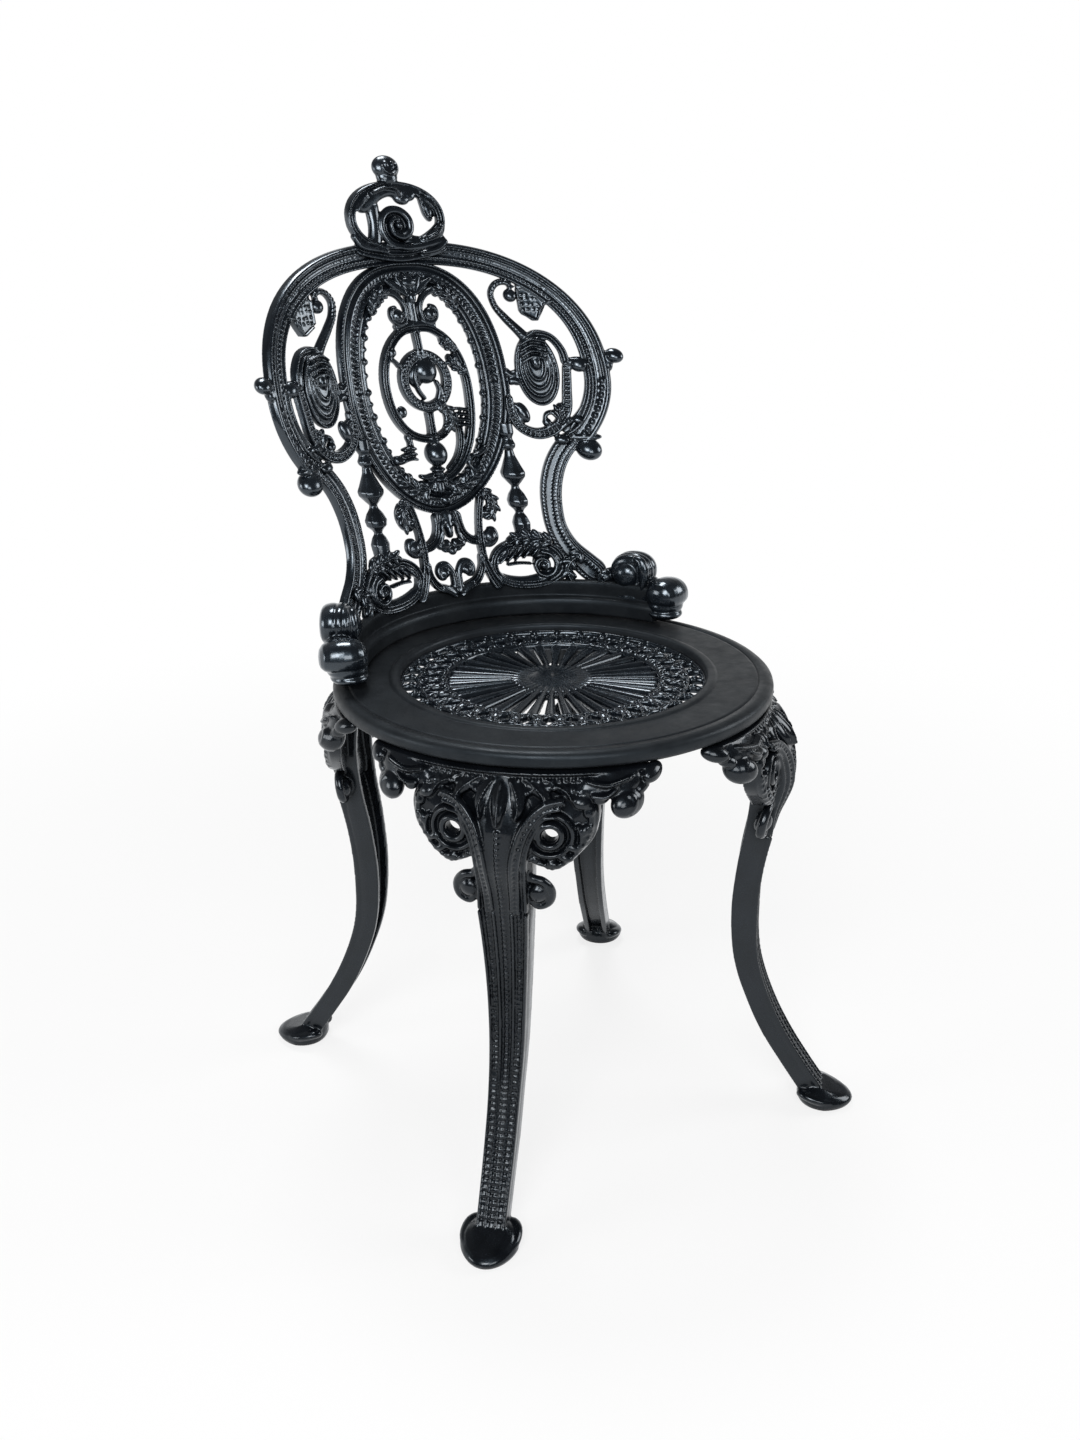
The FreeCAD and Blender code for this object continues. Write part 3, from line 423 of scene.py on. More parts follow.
def make_ring():
    """The oval ring: stepped mouldings round a plaited strand, with scallops inside."""
    form = Form(on_barrel)
    sweep(form, ring_rows(150), OVAL, closed=True)
    plait = band_between(outline(RING_CENTRE, 77, 106, 107, (2.45, 1.85), 112),
                         outline((0, 226), 75, 104, 105, (2.4, 1.85), 112))
    plait = [(across, height, 0.75) for across, height, width in plait]
    for share, slant in ((5.0, -0.7), (-5.0, 0.7)):
        beads(form, plait, share, 0, (3.6, 1.5, 2.0), 3.2, slant, True)
    for share in (-0.88, 0.32):
        beads(form, ring_rows(180), share, 0, (1.5, 1.1, 1.1), 5.2, 0, True)
    for i, place in enumerate(outline((0, 228), 62.5, 92.5, 97.5, (2.3, 1.9), 50)):
        blob(form, place, 2, (3.6, 3.6, 4.4) if i % 2 else (2.6, 2.6, 3.6))
    blob(form, (3, 121), 5, (5.5, 5, 4.5))
    for place in ((-7, 131), (14, 127), (-18, 125)):
        blob(form, place, 5, (3.4, 3.2, 3.4))
    both(leaf, form, [(7, 140, 10, 2), (20, 133, 12, 2), (36, 140, 9, 2), (46, 152, 5, 1)], 5)
    return fused("back_ring", form, FINE)


def proud(points):
    """Lays a form on the barrel a little in front of the rest of the back."""
    return on_barrel(points + (0, 0, 3))


def make_medallion():
    """What the oval ring holds: a fan of volutes, the ringed medallion, stem, balls and scrolls."""
    form = Form(proud)
    sweep(form, [(0, 334, 20, 1), (0, 318, 14, 2), (0, 300, 10, 3), (0, 282, 13, 2)], DOME)
    blob(form, (1, 311), 6, (4.5, 6, 4.5))
    blob(form, (0, 325), 4, (9, 5, 5))
    for across, height in ((14, 332), (27, 329)):
        both(sweep, form, [(3, 312, 4, 3), (across * 0.6, 322, 8, 3), (across, height, 4, 2)], DOME)
    scroll = [(44, 303, 9, 2), (40, 311, 10, 2), (31, 316.5, 8, 3), (20, 315.5, 7, 4), (11, 308, 6.5, 4),
              (8, 298, 6, 4), (11, 289.5, 5.5, 4), (19, 287.5, 5.5, 4), (25, 293, 5, 4), (24, 301, 4.5, 4),
              (17, 303, 4, 4)]
    both(sweep, form, scroll)
    both_blobs(form, (18, 295), 5, (6.5, 6.5, 6))
    both(leaf, form, [(46, 300, 7, 1), (42, 309, 12, 3), (33, 316, 10, 3), (24, 318, 5, 3)], 5)
    both(sweep, form, [(24, 284, 5, 2), (12, 286, 6, 3), (0, 287, 7, 3)])
    # The medallion's outer ring runs on to the right as a crescent down to the stem's foot.
    sweep(form, [(2, 283, 8, 3), (-16, 280, 8, 3), (-33, 266, 8.5, 3), (-43, 245, 8.5, 3),
                 (-44.5, 225, 8.5, 3), (-39, 203, 8.5, 3), (-26, 187, 8.5, 3), (-8, 180, 8, 3),
                 (10, 182, 7, 3), (20, 191, 6, 3), (23, 200, 5, 3)], STRAP)
    sweep(form, [(-4, 283, 8, 3), (16, 281, 8, 3), (31, 271, 8.5, 3), (41, 255, 8.5, 3),
                 (45.5, 236, 9, 3), (46, 215, 9, 3), (43.5, 193, 9, 3), (37, 172, 9, 3),
                 (27, 156, 8.5, 3), (14, 145, 8, 3), (2, 140, 7, 3)], STRAP)
    sweep(form, [(24, 203, 6, 3), (29, 190, 7, 3), (29, 174, 7, 3), (22, 159, 6, 3), (10, 147, 6, 3)], STRAP)
    leaf(form, [(38, 262, 6, 3), (31, 266, 11, 4), (25, 274, 6, 3)], 4)
    leaf(form, [(43, 240, 6, 3), (35, 247, 10, 4), (30, 257, 6, 3)], 4)
    leaf(form, [(13, 209, 7, 3), (21, 202, 13, 4), (20, 192, 11, 4), (14, 184, 6, 3)], 5)
    for drop in (0, 5, 10, 15):
        sweep(form, [(26, 206 - drop, 3.2, 5), (35, 205 - drop, 3.4, 5), (43, 203 - drop, 3, 4)])
    inner = band_between(outline((1, 234), 29, 29, 30, count=72), outline((1, 235), 19, 19.5, 21, count=72))
    inner = [(*row, 3) for row in inner]
    sweep(form, inner, STRAP, closed=True)
    beads(form, inner[::2], 0.0, 0, (2.2, 2.2, 2.4), 3.2, 0, True)
    blob(form, (2.5, 243), 4.5, (12.5, 12.5, 9))
    blob(form, (-9, 240), 3, (9, 13, 5))
    sweep(form, [(-6, 250, 5, 5), (-11, 240, 5, 5), (-9, 226, 5, 5), (-2, 216, 5, 4)])
    sweep(form, [(12, 234, 5, 4), (15, 224, 6, 4), (11, 214, 5, 3)])
    sweep(form, [(-0.5, 284, 8, 3), (0, 262, 7.5, 4), (1, 250, 6, 5)], STRAP)
    sweep(form, [(0, 207, 9, 2), (0, 192, 8, 2), (0, 178, 10, 2)], STRAP)
    sweep(form, [(-38, 257, 6, 3), (-30, 254, 5, 3), (-24, 247, 6, 3)])
    blob(form, (-31, 207), 4, (5.5, 6, 5))
    blob(form, (-31, 262), 5, (4.5, 4.5, 4))
    # Stem below the medallion, with its large ball, and the leaf scroll to its left.
    blob(form, (0, 165), 3, (12, 12, 11))
    for height, radius in ((179, 7), (150, 8), (146, 6), (141, 8)):
        blob(form, (0, height), 1, (radius, 2.6, radius))
    sweep(form, [(0, 178, 8), (0, 150, 9), (0, 126, 10)])
    sweep(form, [(-30, 186, 7, 2), (-27, 176, 7, 2), (-31, 167, 9, 2), (-40, 163, 9, 1), (-49, 164, 9, 0)])
    for drop in (0, 5, 10):
        sweep(form, [(-40, 172 - drop, 3, 4), (-31, 174 - drop, 4, 6), (-22, 172 - drop, 3, 4)])
    sweep(form, [(-6, 146, 5, 2), (-14, 144, 6, 2), (-23, 146, 4, 1)])
    sweep(form, [(57, 168, 6, 1), (46, 161, 5, 2), (38, 159, 4.5, 2), (34, 152, 4.5, 2), (40, 146, 5, 1),
                 (47, 149, 4, 1)])
    return fused("back_medallion", form, FINE)


def make_rosettes():
    """Between oval and hoop: rosettes, each in a scrolled basket, with hooks, links and curls."""
    form = Form(on_barrel)

    def here(rows):
        return [(ROSETTE[0] + row[0], ROSETTE[1] + row[1], *row[2:]) for row in rows]

    def bar(rows, section=TUBE):
        both(sweep, form, here(rows), section)

    def ball(place, *rest):
        both_blobs(form, here([place])[0], *rest)

    ball((0, 0), 0, (19, 33, 6.5))
    for share, rise, lift in ((1.0, 0, 1.0), (0.8, 2, 2.4), (0.62, 4, 3.4), (0.44, 6, 4.0)):
        petals = outline((0, rise), 19 * share, 33 * share, 33 * share, count=44)
        both(sweep, form, here([(*place, 3.2, lift) for place in petals]), closed=True)
    ball((0, 8), 6, (5, 7, 5))
    for top in (30, 24.5, 19, 13.5):
        bar([(-14, top - 6, 2.4, 4), (-2, top, 3, 6), (13, top - 3, 2.4, 4)])
    bar([(-6, 26, 12, 1), (4, 34, 9, 2), (16, 32, 8, 2), (25, 20, 8, 2), (27.5, 4, 8.5, 2)], STRAP)
    basket = [(28, 6, 8, 1), (24.5, -18, 9, 1), (20, -40, 10, 1), (8, -56, 11, 1), (-9, -61, 11, 1),
              (-24, -54, 10, 1), (-31, -40, 9, 1), (-31, -22, 8, 1)]
    bar(basket, STRAP)
    both(beads, form, here(basket), 0.0, 4.2, (1.6, 2.2, 1.6), 3.0)
    bar([(7, -55, 5, 1), (12, -47, 5, 2), (9, -41, 5, 2), (2, -42, 4.5, 2), (-1, -49, 4.5, 2)])
    ball((1, -50), 3, (4.5, 4.5, 4.5))
    both(leaf, form, here([(16, -50, 13, 1), (14, -38, 9, 2), (18, -32, 4, 1)]), 4)
    ball((-20, -40), 2.5, (6, 10.5, 5.5), 0.35)
    bar([(-27, -30, 5, 1), (-22, -41, 5, 2), (-24, -50, 5, 1)])
    bar([(-32, 2, 9, 1), (-25, -4, 8, 1), (-18, -2, 8, 1)], DOME)
    bar([(-30, -12, 8, 1), (-24, -9, 9, 2), (-17, -12, 9, 2)], DOME)
    # The hook above each rosette is roped and ends in a small ball inside its curl.
    hook = [(-3, 28, 12, 1), (-11, 38, 10, 1), (-22, 51, 8.5, 1), (-30, 63, 7, 1), (-31.5, 75, 6.5, 1),
            (-25, 83, 6.5, 1), (-15, 84, 6.5, 1), (-11, 80, 5, 1)]
    bar(hook)
    for side in (1, -1):
        beads(form, sided(side, here(hook)), 0, 3.4, (3.6, 1.5, 2.4), 3.4, side * 0.9)
    bar([(-15, 84, 8, 1), (-12, 90, 9, 0)])
    ball((-13.5, 71.5), 2, (6.5, 6.5, 6.5))
    bar([(-13, 82, 4, 2), (-13, 74, 4, 2)])
    # Links from the basket to the hoop, and the bar down the hoop's inner side.
    bar([(26, 5, 8, 1), (36, 8, 9, 2), (48, 6, 9, 1)])
    ball((38, 5), 3, (7.5, 7.5, 6))
    bar([(45, 8, 8, 1), (45, -12, 8, 1), (39, -34, 9, 1), (28, -50, 11, 1), (14, -60, 12, 1)], STRAP)
    ball((29, -48), 4, (5, 4, 4))
    ball((12, -67), 3, (7, 5, 5))
    return fused("back_rosettes", form, FINE)


# Height at which the ornament between the posts stands on the band.
BAND_TOP = 30


def make_base_ornament():
    """Between the oval ring and the base band: bars, lyre, curled volutes and the shell ovals."""
    form = Form(proud)
    both(sweep, form, [(42, 124, 8, 1), (37, 108, 7, 1), (34, 92, 7, 1), (33, 76, 8, 1), (34, 60, 8, 1),
                       (39, 44, 10, 1), (47, BAND_TOP, 12, 1)], STRAP)
    both(sweep, form, [(52, 112, 9, 1), (45, 106, 9, 1), (38, 100, 8, 1)])
    both(leaf, form, [(46, 124, 9, 1), (52, 114, 12, 2), (48, 103, 11, 2), (41, 98, 6, 1)], 5)
    both_blobs(form, (49, 106), 3, (5, 5, 5))
    both(sweep, form, [(33, 79, 8, 1), (42, 74, 7, 1), (50, 80, 6, 1), (48, 88, 5, 1), (41, 88, 4, 1)])
    both_blobs(form, (43.5, 81.5), 2, (7, 7, 6.5))
    both(sweep, form, [(31, 66, 6, 1), (29.5, 52, 7, 1), (22, 41, 8, 1), (10, 36, 8, 1),
                       (0, BAND_TOP, 9, 1)], STRAP)
    both(sweep, form, [(4, 30, 8, 1), (3, 42, 7.5, 1), (4.5, 54, 7, 1), (10, 60.5, 6.5, 1), (17, 59.5, 6, 1),
                       (20, 53.5, 5.5, 1), (17, 48, 5, 1), (11.5, 48.5, 4.5, 1)], step=1.0)
    both_blobs(form, (12.5, 53), 2.5, (5.5, 5.5, 5.5))
    both(sweep, form, [(3, BAND_TOP, 8, 1), (11, 36, 6, 2), (20, 40, 5, 2)], DOME)
    # The lyre: two curved arms from the oval to a cross bar, with an open heart between them.
    both(sweep, form, [(9, 110, 15, 1), (11.5, 98, 10, 2), (15, 88, 9, 2), (23, 80.5, 9, 2),
                       (33, 78, 8, 1)], STRAP)
    both(sweep, form, [(2, 103, 9, 2), (8, 98, 5, 3), (9, 88, 4, 3), (13, 80, 4, 2)])
    both(sweep, form, [(17, 78, 8, 1), (8, 79, 9, 2), (0, 80, 10, 2)])
    sweep(form, [(0, 112, 12, 1), (0, 102, 13, 2), (0, 93, 9, 3), (0, 84, 7, 2)], DOME)
    blob(form, (0, 92), 5, (3.4, 7, 4))
    both_blobs(form, (6, 75), 2.5, (6, 4, 4))
    blob(form, (0, 73), 3, (5, 5, 4.5))
    # Shell ovals: a rim, an open slot, a volute at the outer end and a leaf above.
    rim = outline((77, 52), 34, 21, 20, (2.2, 2.2), 60)
    both(sweep, form, [(*place, 8, 1) for place in rim], STRAP, closed=True)
    both(sweep, form, [(48, 58, 12), (58, 64, 16), (72, 67, 18), (88, 65, 18), (101, 56, 18)], DOME)
    both(sweep, form, [(46, 42, 7), (60, 36, 9), (76, 34, 10), (92, 37, 12), (102, 46, 12)], DOME)
    both(sweep, form, [(84, 46, 8), (92, 52, 18), (98, 52, 16)], DOME)
    both(sweep, form, curl((93, 50), 14, 3, 100, -560, 5, 3.5, 3), step=1.0)
    both_blobs(form, (93, 50), 5, (4, 4, 4))
    for i in range(5):
        across = 54 + i * 8.5
        both(sweep, form, [(across - 7, 54 + i, 2.6, 3), (across, 60 + i * 1.5, 3.4, 5),
                           (across + 7, 68 + i, 2.6, 3)])
    both(sweep, form, [(55, 52.5, 3, 3), (70, 53.5, 3, 4), (82, 52, 3, 3)])
    both(leaf, form, [(100, 74, 10, 1), (86, 77, 13, 2), (72, 78, 10, 2), (60, 73, 6, 1)], 5)
    both(leaf, form, [(126, 58, 9, 1), (118, 52, 10, 1), (114, 40, 9, 1), (118, BAND_TOP, 8, 1)], 4)
    return fused("back_base_ornament", form, FINE)


# One string of drops, upwards: height and radius.
DROP_ACROSS = 79
DROP = [(78, 8), (84, 8.6), (91, 9.4), (97, 7), (101, 4), (104, 5.6), (108, 10), (113, 11), (119, 8.4),
        (124, 4.6), (127, 4), (130, 7), (136, 12.2), (140, 13), (146, 10), (156, 5.6), (162, 4.4),
        (164, 7), (167, 8), (170, 6.6), (173, 5.4), (178, 8), (188, 8)]


def make_drops():
    """The two hanging strings of turned drops, each with flats as a cut jewel has."""
    form = Form(on_barrel)
    for side in (1, -1):
        rings = []
        for height, radius in DROP:
            ring = []
            for i, angle in enumerate(turns(12)):
                flat = radius * (1 if i % 2 else 0.93)
                ring.append((side * DROP_ACROSS + flat * math.cos(angle), height,
                             0.5 + flat * 0.95 * math.sin(angle)))
            rings.append(ring)
        form.add(rings)
    return fused("back_drops", form, FINE)


# The crown's scroll: in along the foot from the right, round the volute and on to its eye.
CROWN_SCROLL = [(50, 364, 7, 1), (36, 360.5, 7, 2), (20, 357.5, 7, 2), (2, 357, 7, 2), (-11, 361.5, 7, 2),
                (-17, 371, 7, 2), (-15.5, 383, 7, 2), (-6.5, 390.5, 7.5, 2), (5.5, 389.5, 8, 2.5),
                (13, 381.5, 8.5, 3), (12.5, 372, 8, 3), (4, 366.5, 7, 3.5), (-6, 370, 6, 4),
                (-8.5, 378, 5, 4.5), (-3.5, 383.5, 5, 5), (2.5, 381.5, 4.5, 5.5)]


def make_crown():
    """The open crown with its inner scroll, leaves and tongue, and the bud finial."""
    form = Form(proud)
    shell = band_between(outline((-1, 383), 53, 34, 34, (2.1, 2.1)), outline((-1, 383), 44, 26, 26))
    sweep(form, [(*row, 1) for row in shell], STRAP, closed=True)
    sweep(form, [(-50, 358, 13), (-24, 353, 15), (0, 351, 16), (24, 353, 15), (50, 358, 13)], STRAP)
    sweep(form, [(-52, 370, 5, 2), (-44, 360, 7, 3), (-30, 356, 6, 3), (-14, 353, 4, 3)])
    sweep(form, [(51, 363, 6, 2), (41, 356, 6, 3), (20, 351, 4, 3)])
    blob(form, (-1, 377), -1, (17, 16, 4))
    sweep(form, CROWN_SCROLL, step=1.2)
    blob(form, (0, 377), 5, (4, 4, 5))
    sweep(form, [(-23, 401, 16), (-22.5, 389, 14), (-23, 377, 12), (-24.5, 365, 14), (-28, 357, 14)], DOME)
    sweep(form, [(-41, 392, 14, 0), (-29, 399, 18, 1), (-16, 406, 14, 2), (-4, 409, 13, 2.5),
                 (8, 407, 14, 2.5), (20, 408, 13, 1), (33, 405, 9, 0)], DOME)
    blob(form, (9, 400.5), 2, (8.5, 5.5, 5.5), -0.2)
    blob(form, (17, 404), 2, (8, 6, 5))
    sweep(form, [(-24, 407, 3, 5), (-8, 411.5, 3.5, 6), (3, 409.5, 3.5, 7), (7, 402, 3, 6.5)], step=1.2)
    sweep(form, [(-43, 390, 3, 3), (-38, 397, 3, 5), (-28, 405, 3, 5)], step=1.2)
    sweep(form, [(8, 373, 14, -1), (12, 363, 14, -1), (30, 361, 9, 1)], DOME)
    sweep(form, [(29.5, 405, 5, 1), (32, 397, 7, 2), (35, 389, 10, 2.5), (35, 382.5, 8, 2.5)], DOME, step=1.2)
    sweep(form, [(27.5, 404, 3, 3), (28.5, 394, 3, 4), (31, 384.5, 3, 4), (35, 380.5, 3, 3),
                 (38.5, 384, 3, 2)], step=1.2)
    blob(form, (38, 388), 0, (5.5, 6, 4))
    sweep(form, [(36, 405, 9), (41.5, 396, 8), (44, 387, 6)], DOME)
    sweep(form, [(49, 379, 8, 1), (43, 371, 12, 3), (33, 366, 9, 3), (22, 362, 6, 2)], DOME)
    sweep(form, [(48, 377, 2.5, 5), (40, 369, 3, 7), (28, 364, 2.5, 5)], step=1.2)
    # The finial: a bud on a wide neck, with a rolled petal at its front.
    blob(form, (-1, 429), 0, (14.2, 11.3, 8.5))
    blob(form, (-1, 421), 0, (11.2, 9, 7.5))
    sweep(form, [(-8.5, 432, 3, 4.5), (-5.5, 426, 3, 5.5), (1, 423.5, 3, 6), (7, 427, 3, 5.5),
                 (8, 434, 3, 4)], step=1)
    blob(form, (-3.5, 432), 5.5, (3, 3.6, 4))
    blob(form, (3.2, 432), 5.5, (2.4, 3.6, 4))
    return fused("back_crown", form, FINE, 3)


# The band's section as (radius, height), and the degrees that it runs to either side.
BAND_SPAN = 69
BAND_PROFILE = [(172, 0.2), (187, 0.2), (188.5, 1.5), (188.5, 12), (187.5, 15.5), (186, 17.6), (184, 18.6),
                (186.2, 20), (186.2, 32.5), (185, 34.5), (180, 35), (176.4, 34), (175.8, 31), (176.6, 19),
                (173, 18.2), (171, 16.4), (170, 13), (170, 2)]
BAND_LINE = [(174.2, 17.4), (174.8, 18.8), (176.6, 19.4), (177.5, 18)]
# The rolled ends: degrees from the back's middle, height, and reach from the seat's axis.
UPPER_END, LOWER_END = (58.5, 46, 191), (70.5, 24, 190)
FLUTED_DRUM = [(-18, 8), (-17.4, 13.5), (-15.6, 17), (-12.5, 18.8), (-8, 19.7), (-4.6, 19.6), (-3, 18.6),
               (-1, 19.8), (2.2, 19.6), (3.8, 18.2), (6, 19), (8.6, 18), (10.6, 15.5), (11.6, 12)]
SMOOTH_END = [(-21.5, 5), (-20.4, 10), (-17.5, 14.4), (-12.5, 17.2), (-6, 18.8), (0, 19.3), (6, 19),
              (12, 17.6), (17, 14.6), (20, 10.5), (21.5, 6)]


def unbent(points):
    """Leaves a form as it is given."""
    return points


def lathed(profile, angles):
    """Rings of (radius, height) points about the seat's axis, one at each angle."""
    rings = []
    for angle in angles:
        rings.append([(radius * math.cos(angle), radius * math.sin(angle), height)
                      for radius, height in profile])
    return rings


def band_turns(span):
    """Angles from one side to the other of the back, whose middle is at 90 degrees."""
    return np.radians(np.linspace(90 + span, 90 - span, 60))


def around(azimuth, height, reach):
    """A bend that lays a form out on an upright plane that faces the seat's axis."""
    angle = math.radians(azimuth)
    out = np.array((math.sin(angle), math.cos(angle), 0))
    level = np.array((math.cos(angle), -math.sin(angle), 0))
    centre = out * reach + (0, 0, height)

    def bend(points):
        across, up, depth = points.T[:, :, None]
        return centre + level * across + np.array((0, 0, 1)) * up - out * depth
    return bend


def make_band():
    """The foot of the back: a rounded moulding on the rim, with a strip above it."""
    form = Form(unbent)
    form.add(lathed(BAND_PROFILE, band_turns(BAND_SPAN)))
    form.add(lathed(BAND_LINE, band_turns(BAND_SPAN - 4)))
    return fused("back_band", form, COARSE)


def turned(form, profile, rise, wide, above, below):
    """A body turned about an axis that points at the seat's: (depth, radius) pairs, then squashed."""
    rings = []
    for depth, radius in profile:
        ring = outline((0, rise), radius * wide, radius * above, radius * below, (2.2, 2.3), 48)
        rings.append([(across, up, depth) for across, up in ring])
    form.add(rings)


def make_end_scrolls():
    """The band's swelling ends: a fluted drum with a crescent leaf, and a smooth end with a rolled lip."""
    form = Form(unbent)
    for side in (1, -1):
        azimuth, height, reach = UPPER_END
        form.bend = around(side * azimuth, height, reach)
        turned(form, FLUTED_DRUM, 0, 1.15, 0.94, 0.9)
        blob(form, (side * -4, -3), 8.5, (14, 13.5, 10))
        crescent = [(4, 17, 4, 9), (13, 12.5, 11, 12), (17, 2, 12, 13.5), (17, -9, 8, 13), (14, -20, 2, 10)]
        sweep(form, sided(side, crescent))
        sweep(form, sided(side, [(-40, -16, 20, 2), (-26, -10, 20, 3), (-8, -4, 20, 3)]), DOME)
        blob(form, (side * -28, -9), 6, (8.5, 8.5, 8))
        sweep(form, curl((side * -28, -9), 6, 1.5, 90, side * 400, 4, 3, 10), step=1.2)
        blob(form, (side * 16, -17), 0, (18, 14, 15))
        blob(form, (side * -10, -24), 4, (26, 12, 11))
        azimuth, height, reach = LOWER_END
        form.bend = around(side * azimuth, height, reach)
        turned(form, SMOOTH_END, 2, 1, 0.95, 0.6)
        blob(form, (0, -7), 3, (18, 10, 18.5))
        blob(form, (side * 0.5, -14.5), 5, (18.5, 6.6, 17.5))
        blob(form, (side * -22, -1), 1, (28, 15, 14))
        blob(form, (side * -22, -13), 8, (20, 8, 12))
        blob(form, (side * -44, -6), 11, (22, 12, 8))
    return fused("back_end_scrolls", form, FINE, 6)


# Seat


# The seat's sections as (radius, height), and its ribs' as (share of half width, height).
SPOKES = 36
HUB_PROFILE = [(0.5, -3.5), (36, -3.5), (38, -2), (38, 0), (36, 1.6), (30, 2), (12, 2.4), (0.5, 2.6)]
RIM_PROFILE = [(139.5, -15), (139.3, -3), (140.3, -0.8), (142, -0.1), (146.5, 0), (148.6, -0.5),
               (149.4, -1.4), (150.6, -1.5), (165, -1.0), (183.5, -0.8), (185.6, -0.9), (186.2, -1.7),
               (187, -1.7), (187.6, -0.8), (193, -0.9), (197, -1.8), (199.3, -3.8), (200, -6.5),
               (199.9, -11.5), (198.6, -13.6), (196, -14.2), (193.6, -14.4), (193, -15.2), (192.6, -17),
               (186.5, -17), (186, -16), (186, -7), (150, -7), (149.5, -14)]
RIB = [(-1, -3.4), (-1, -0.4), (-0.8, 1.6), (-0.45, 2.9), (0, 3.5), (0.45, 2.9), (0.8, 1.6),
       (1, -0.4), (1, -3.4)]
# A boss's sections along the radius: (reach, half width).
BOSS = [(146, 14.5), (148, 16), (179, 16), (181, 14.5)]
LEG_AZIMUTHS = {"leg_front_left": -45, "leg_front_right": -135, "leg_rear_right": 135, "leg_rear_left": 45}


def spoke(degrees, drop=10):
    """A bend that lays (along the radius, across it, up) out along one spoke of the seat."""
    angle = math.radians(degrees)

    def bend(points):
        reach, across, rise = points.T
        return np.stack([reach * math.cos(angle) - across * math.sin(angle),
                         reach * math.sin(angle) + across * math.cos(angle), rise - drop], 1)
    return bend


def circle(radius, width):
    return [(radius * math.cos(angle), radius * math.sin(angle), width) for angle in turns(180)]


def make_seat_rim():
    """The plain rim, its fine line, rounded edge and skirt, with the leg bosses below."""
    form = Form(unbent)
    form.add(lathed(RIM_PROFILE, turns(180)), closed=True)
    for azimuth in LEG_AZIMUTHS.values():
        form.bend = spoke(azimuth, 0)
        rings = []
        for reach, half in BOSS:
            corners = ((-half, -6), (-half, -16), (1 - half, -17), (half - 1, -17), (half, -16), (half, -6))
            rings.append([(reach, across, height) for across, height in corners])
        form.add(rings)
    return raw_mesh("seat_rim", form, SEAT_AXIS)


def make_seat_ribs():
    """The hub and its rounded ribs, with dark gaps between them."""
    form = Form(spoke(0))
    form.add(lathed(HUB_PROFILE, turns(72)), closed=True)
    for i in range(SPOKES):
        form.bend = spoke(360 * (i + 0.5) / SPOKES)
        sweep(form, [(22, 0, 2.6, -1), (36, 0, 4.8, -0.6), (60, 0, 7.4, -0.6), (92, 0, 10.4, -0.6),
                     (99, 0, 11, -0.6)], RIB)
    return fused("seat_ribs", form, COARSE, 1)


def make_seat_lace():
    """The lace round the ribs: leaves between pointed windows, a scalloped ring and arc slots."""
    form = Form(spoke(0))
    for radius, width in ((98.5, 5), (123.5, 4.4), (138.8, 5.5)):
        sweep(form, circle(radius, width), RIB, closed=True)
    for i in range(SPOKES):
        form.bend = spoke(360 * i / SPOKES)
        sweep(form, [(97, 0, 5), (103, 0, 9), (109, 0, 9.5), (116, 0, 8), (124, 0, 13)], RIB)
        blob(form, (106.5, 0), 2.2, (6, 3.2, 2.6))
        blob(form, (116, 0), 2.0, (4.4, 2.4, 2.4))
        blob(form, (122.5, 0), 2.2, (2.4, 5.5, 2.2))
        form.bend = spoke(360 * (i + 0.5) / SPOKES)
        for side in (1, -1):
            sweep(form, [(101.5, side, 2.6, 0.6), (107, side * 5.2, 2.8, 0.8), (113, side * 6.2, 2.8, 0.8),
                         (119, side * 3, 2.6, 0.6), (122.5, 0, 2.4, 0.4)], RIB)
        blob(form, (100.5, 0), 2.6, (2.2, 3.0, 2.2))
        sweep(form, [(123, 0, 6.4), (131, 0, 5.2), (140, 0, 7.5)], RIB)
        blob(form, (129.5, 0), 2.2, (3.2, 3.0, 2.6))
    return fused("seat_lace", form, FINE, 1)


# Legs


# Up the post: height, reach of its front and of its back from the seat's axis, and width.
LEG_STATIONS = [(13, 271, 249, 26), (45, 249, 228, 27), (72, 232, 211, 28), (110, 213, 193, 29),
                (152, 199, 179, 32), (205, 195, 173.5, 36), (258, 199, 177, 42), (305, 209, 184, 48),
                (345, 222, 186, 50), (386, 214, 180, 48), (413, 194, 169, 46)]
HEAD_LEVELS = [(288, 200), (345, 207), (386, 205), (413, 194)]
POST_LINE = through(LEG_STATIONS, 4)
HEAD_LINE = through(HEAD_LEVELS, 4)
# The post's front edge as (back from the front, in from the side): flat below, round at the head,
# with the height where the change starts and the length that it takes.
FLAT_FRONT = np.array([(9, 0), (4, 0.6), (1.2, 2.4), (0.2, 6)])
ROUND_FRONT = np.array([(17, 0), (10, 3), (4.5, 8), (1.2, 15)])
ROUND_FROM, ROUND_OVER = 275, 50
PLATE = [(-1, -8), (-0.92, -8), (0.92, -8), (1, -8), (1, 2), (0.94, 3.2), (-0.94, 3.2), (-1, 2)]
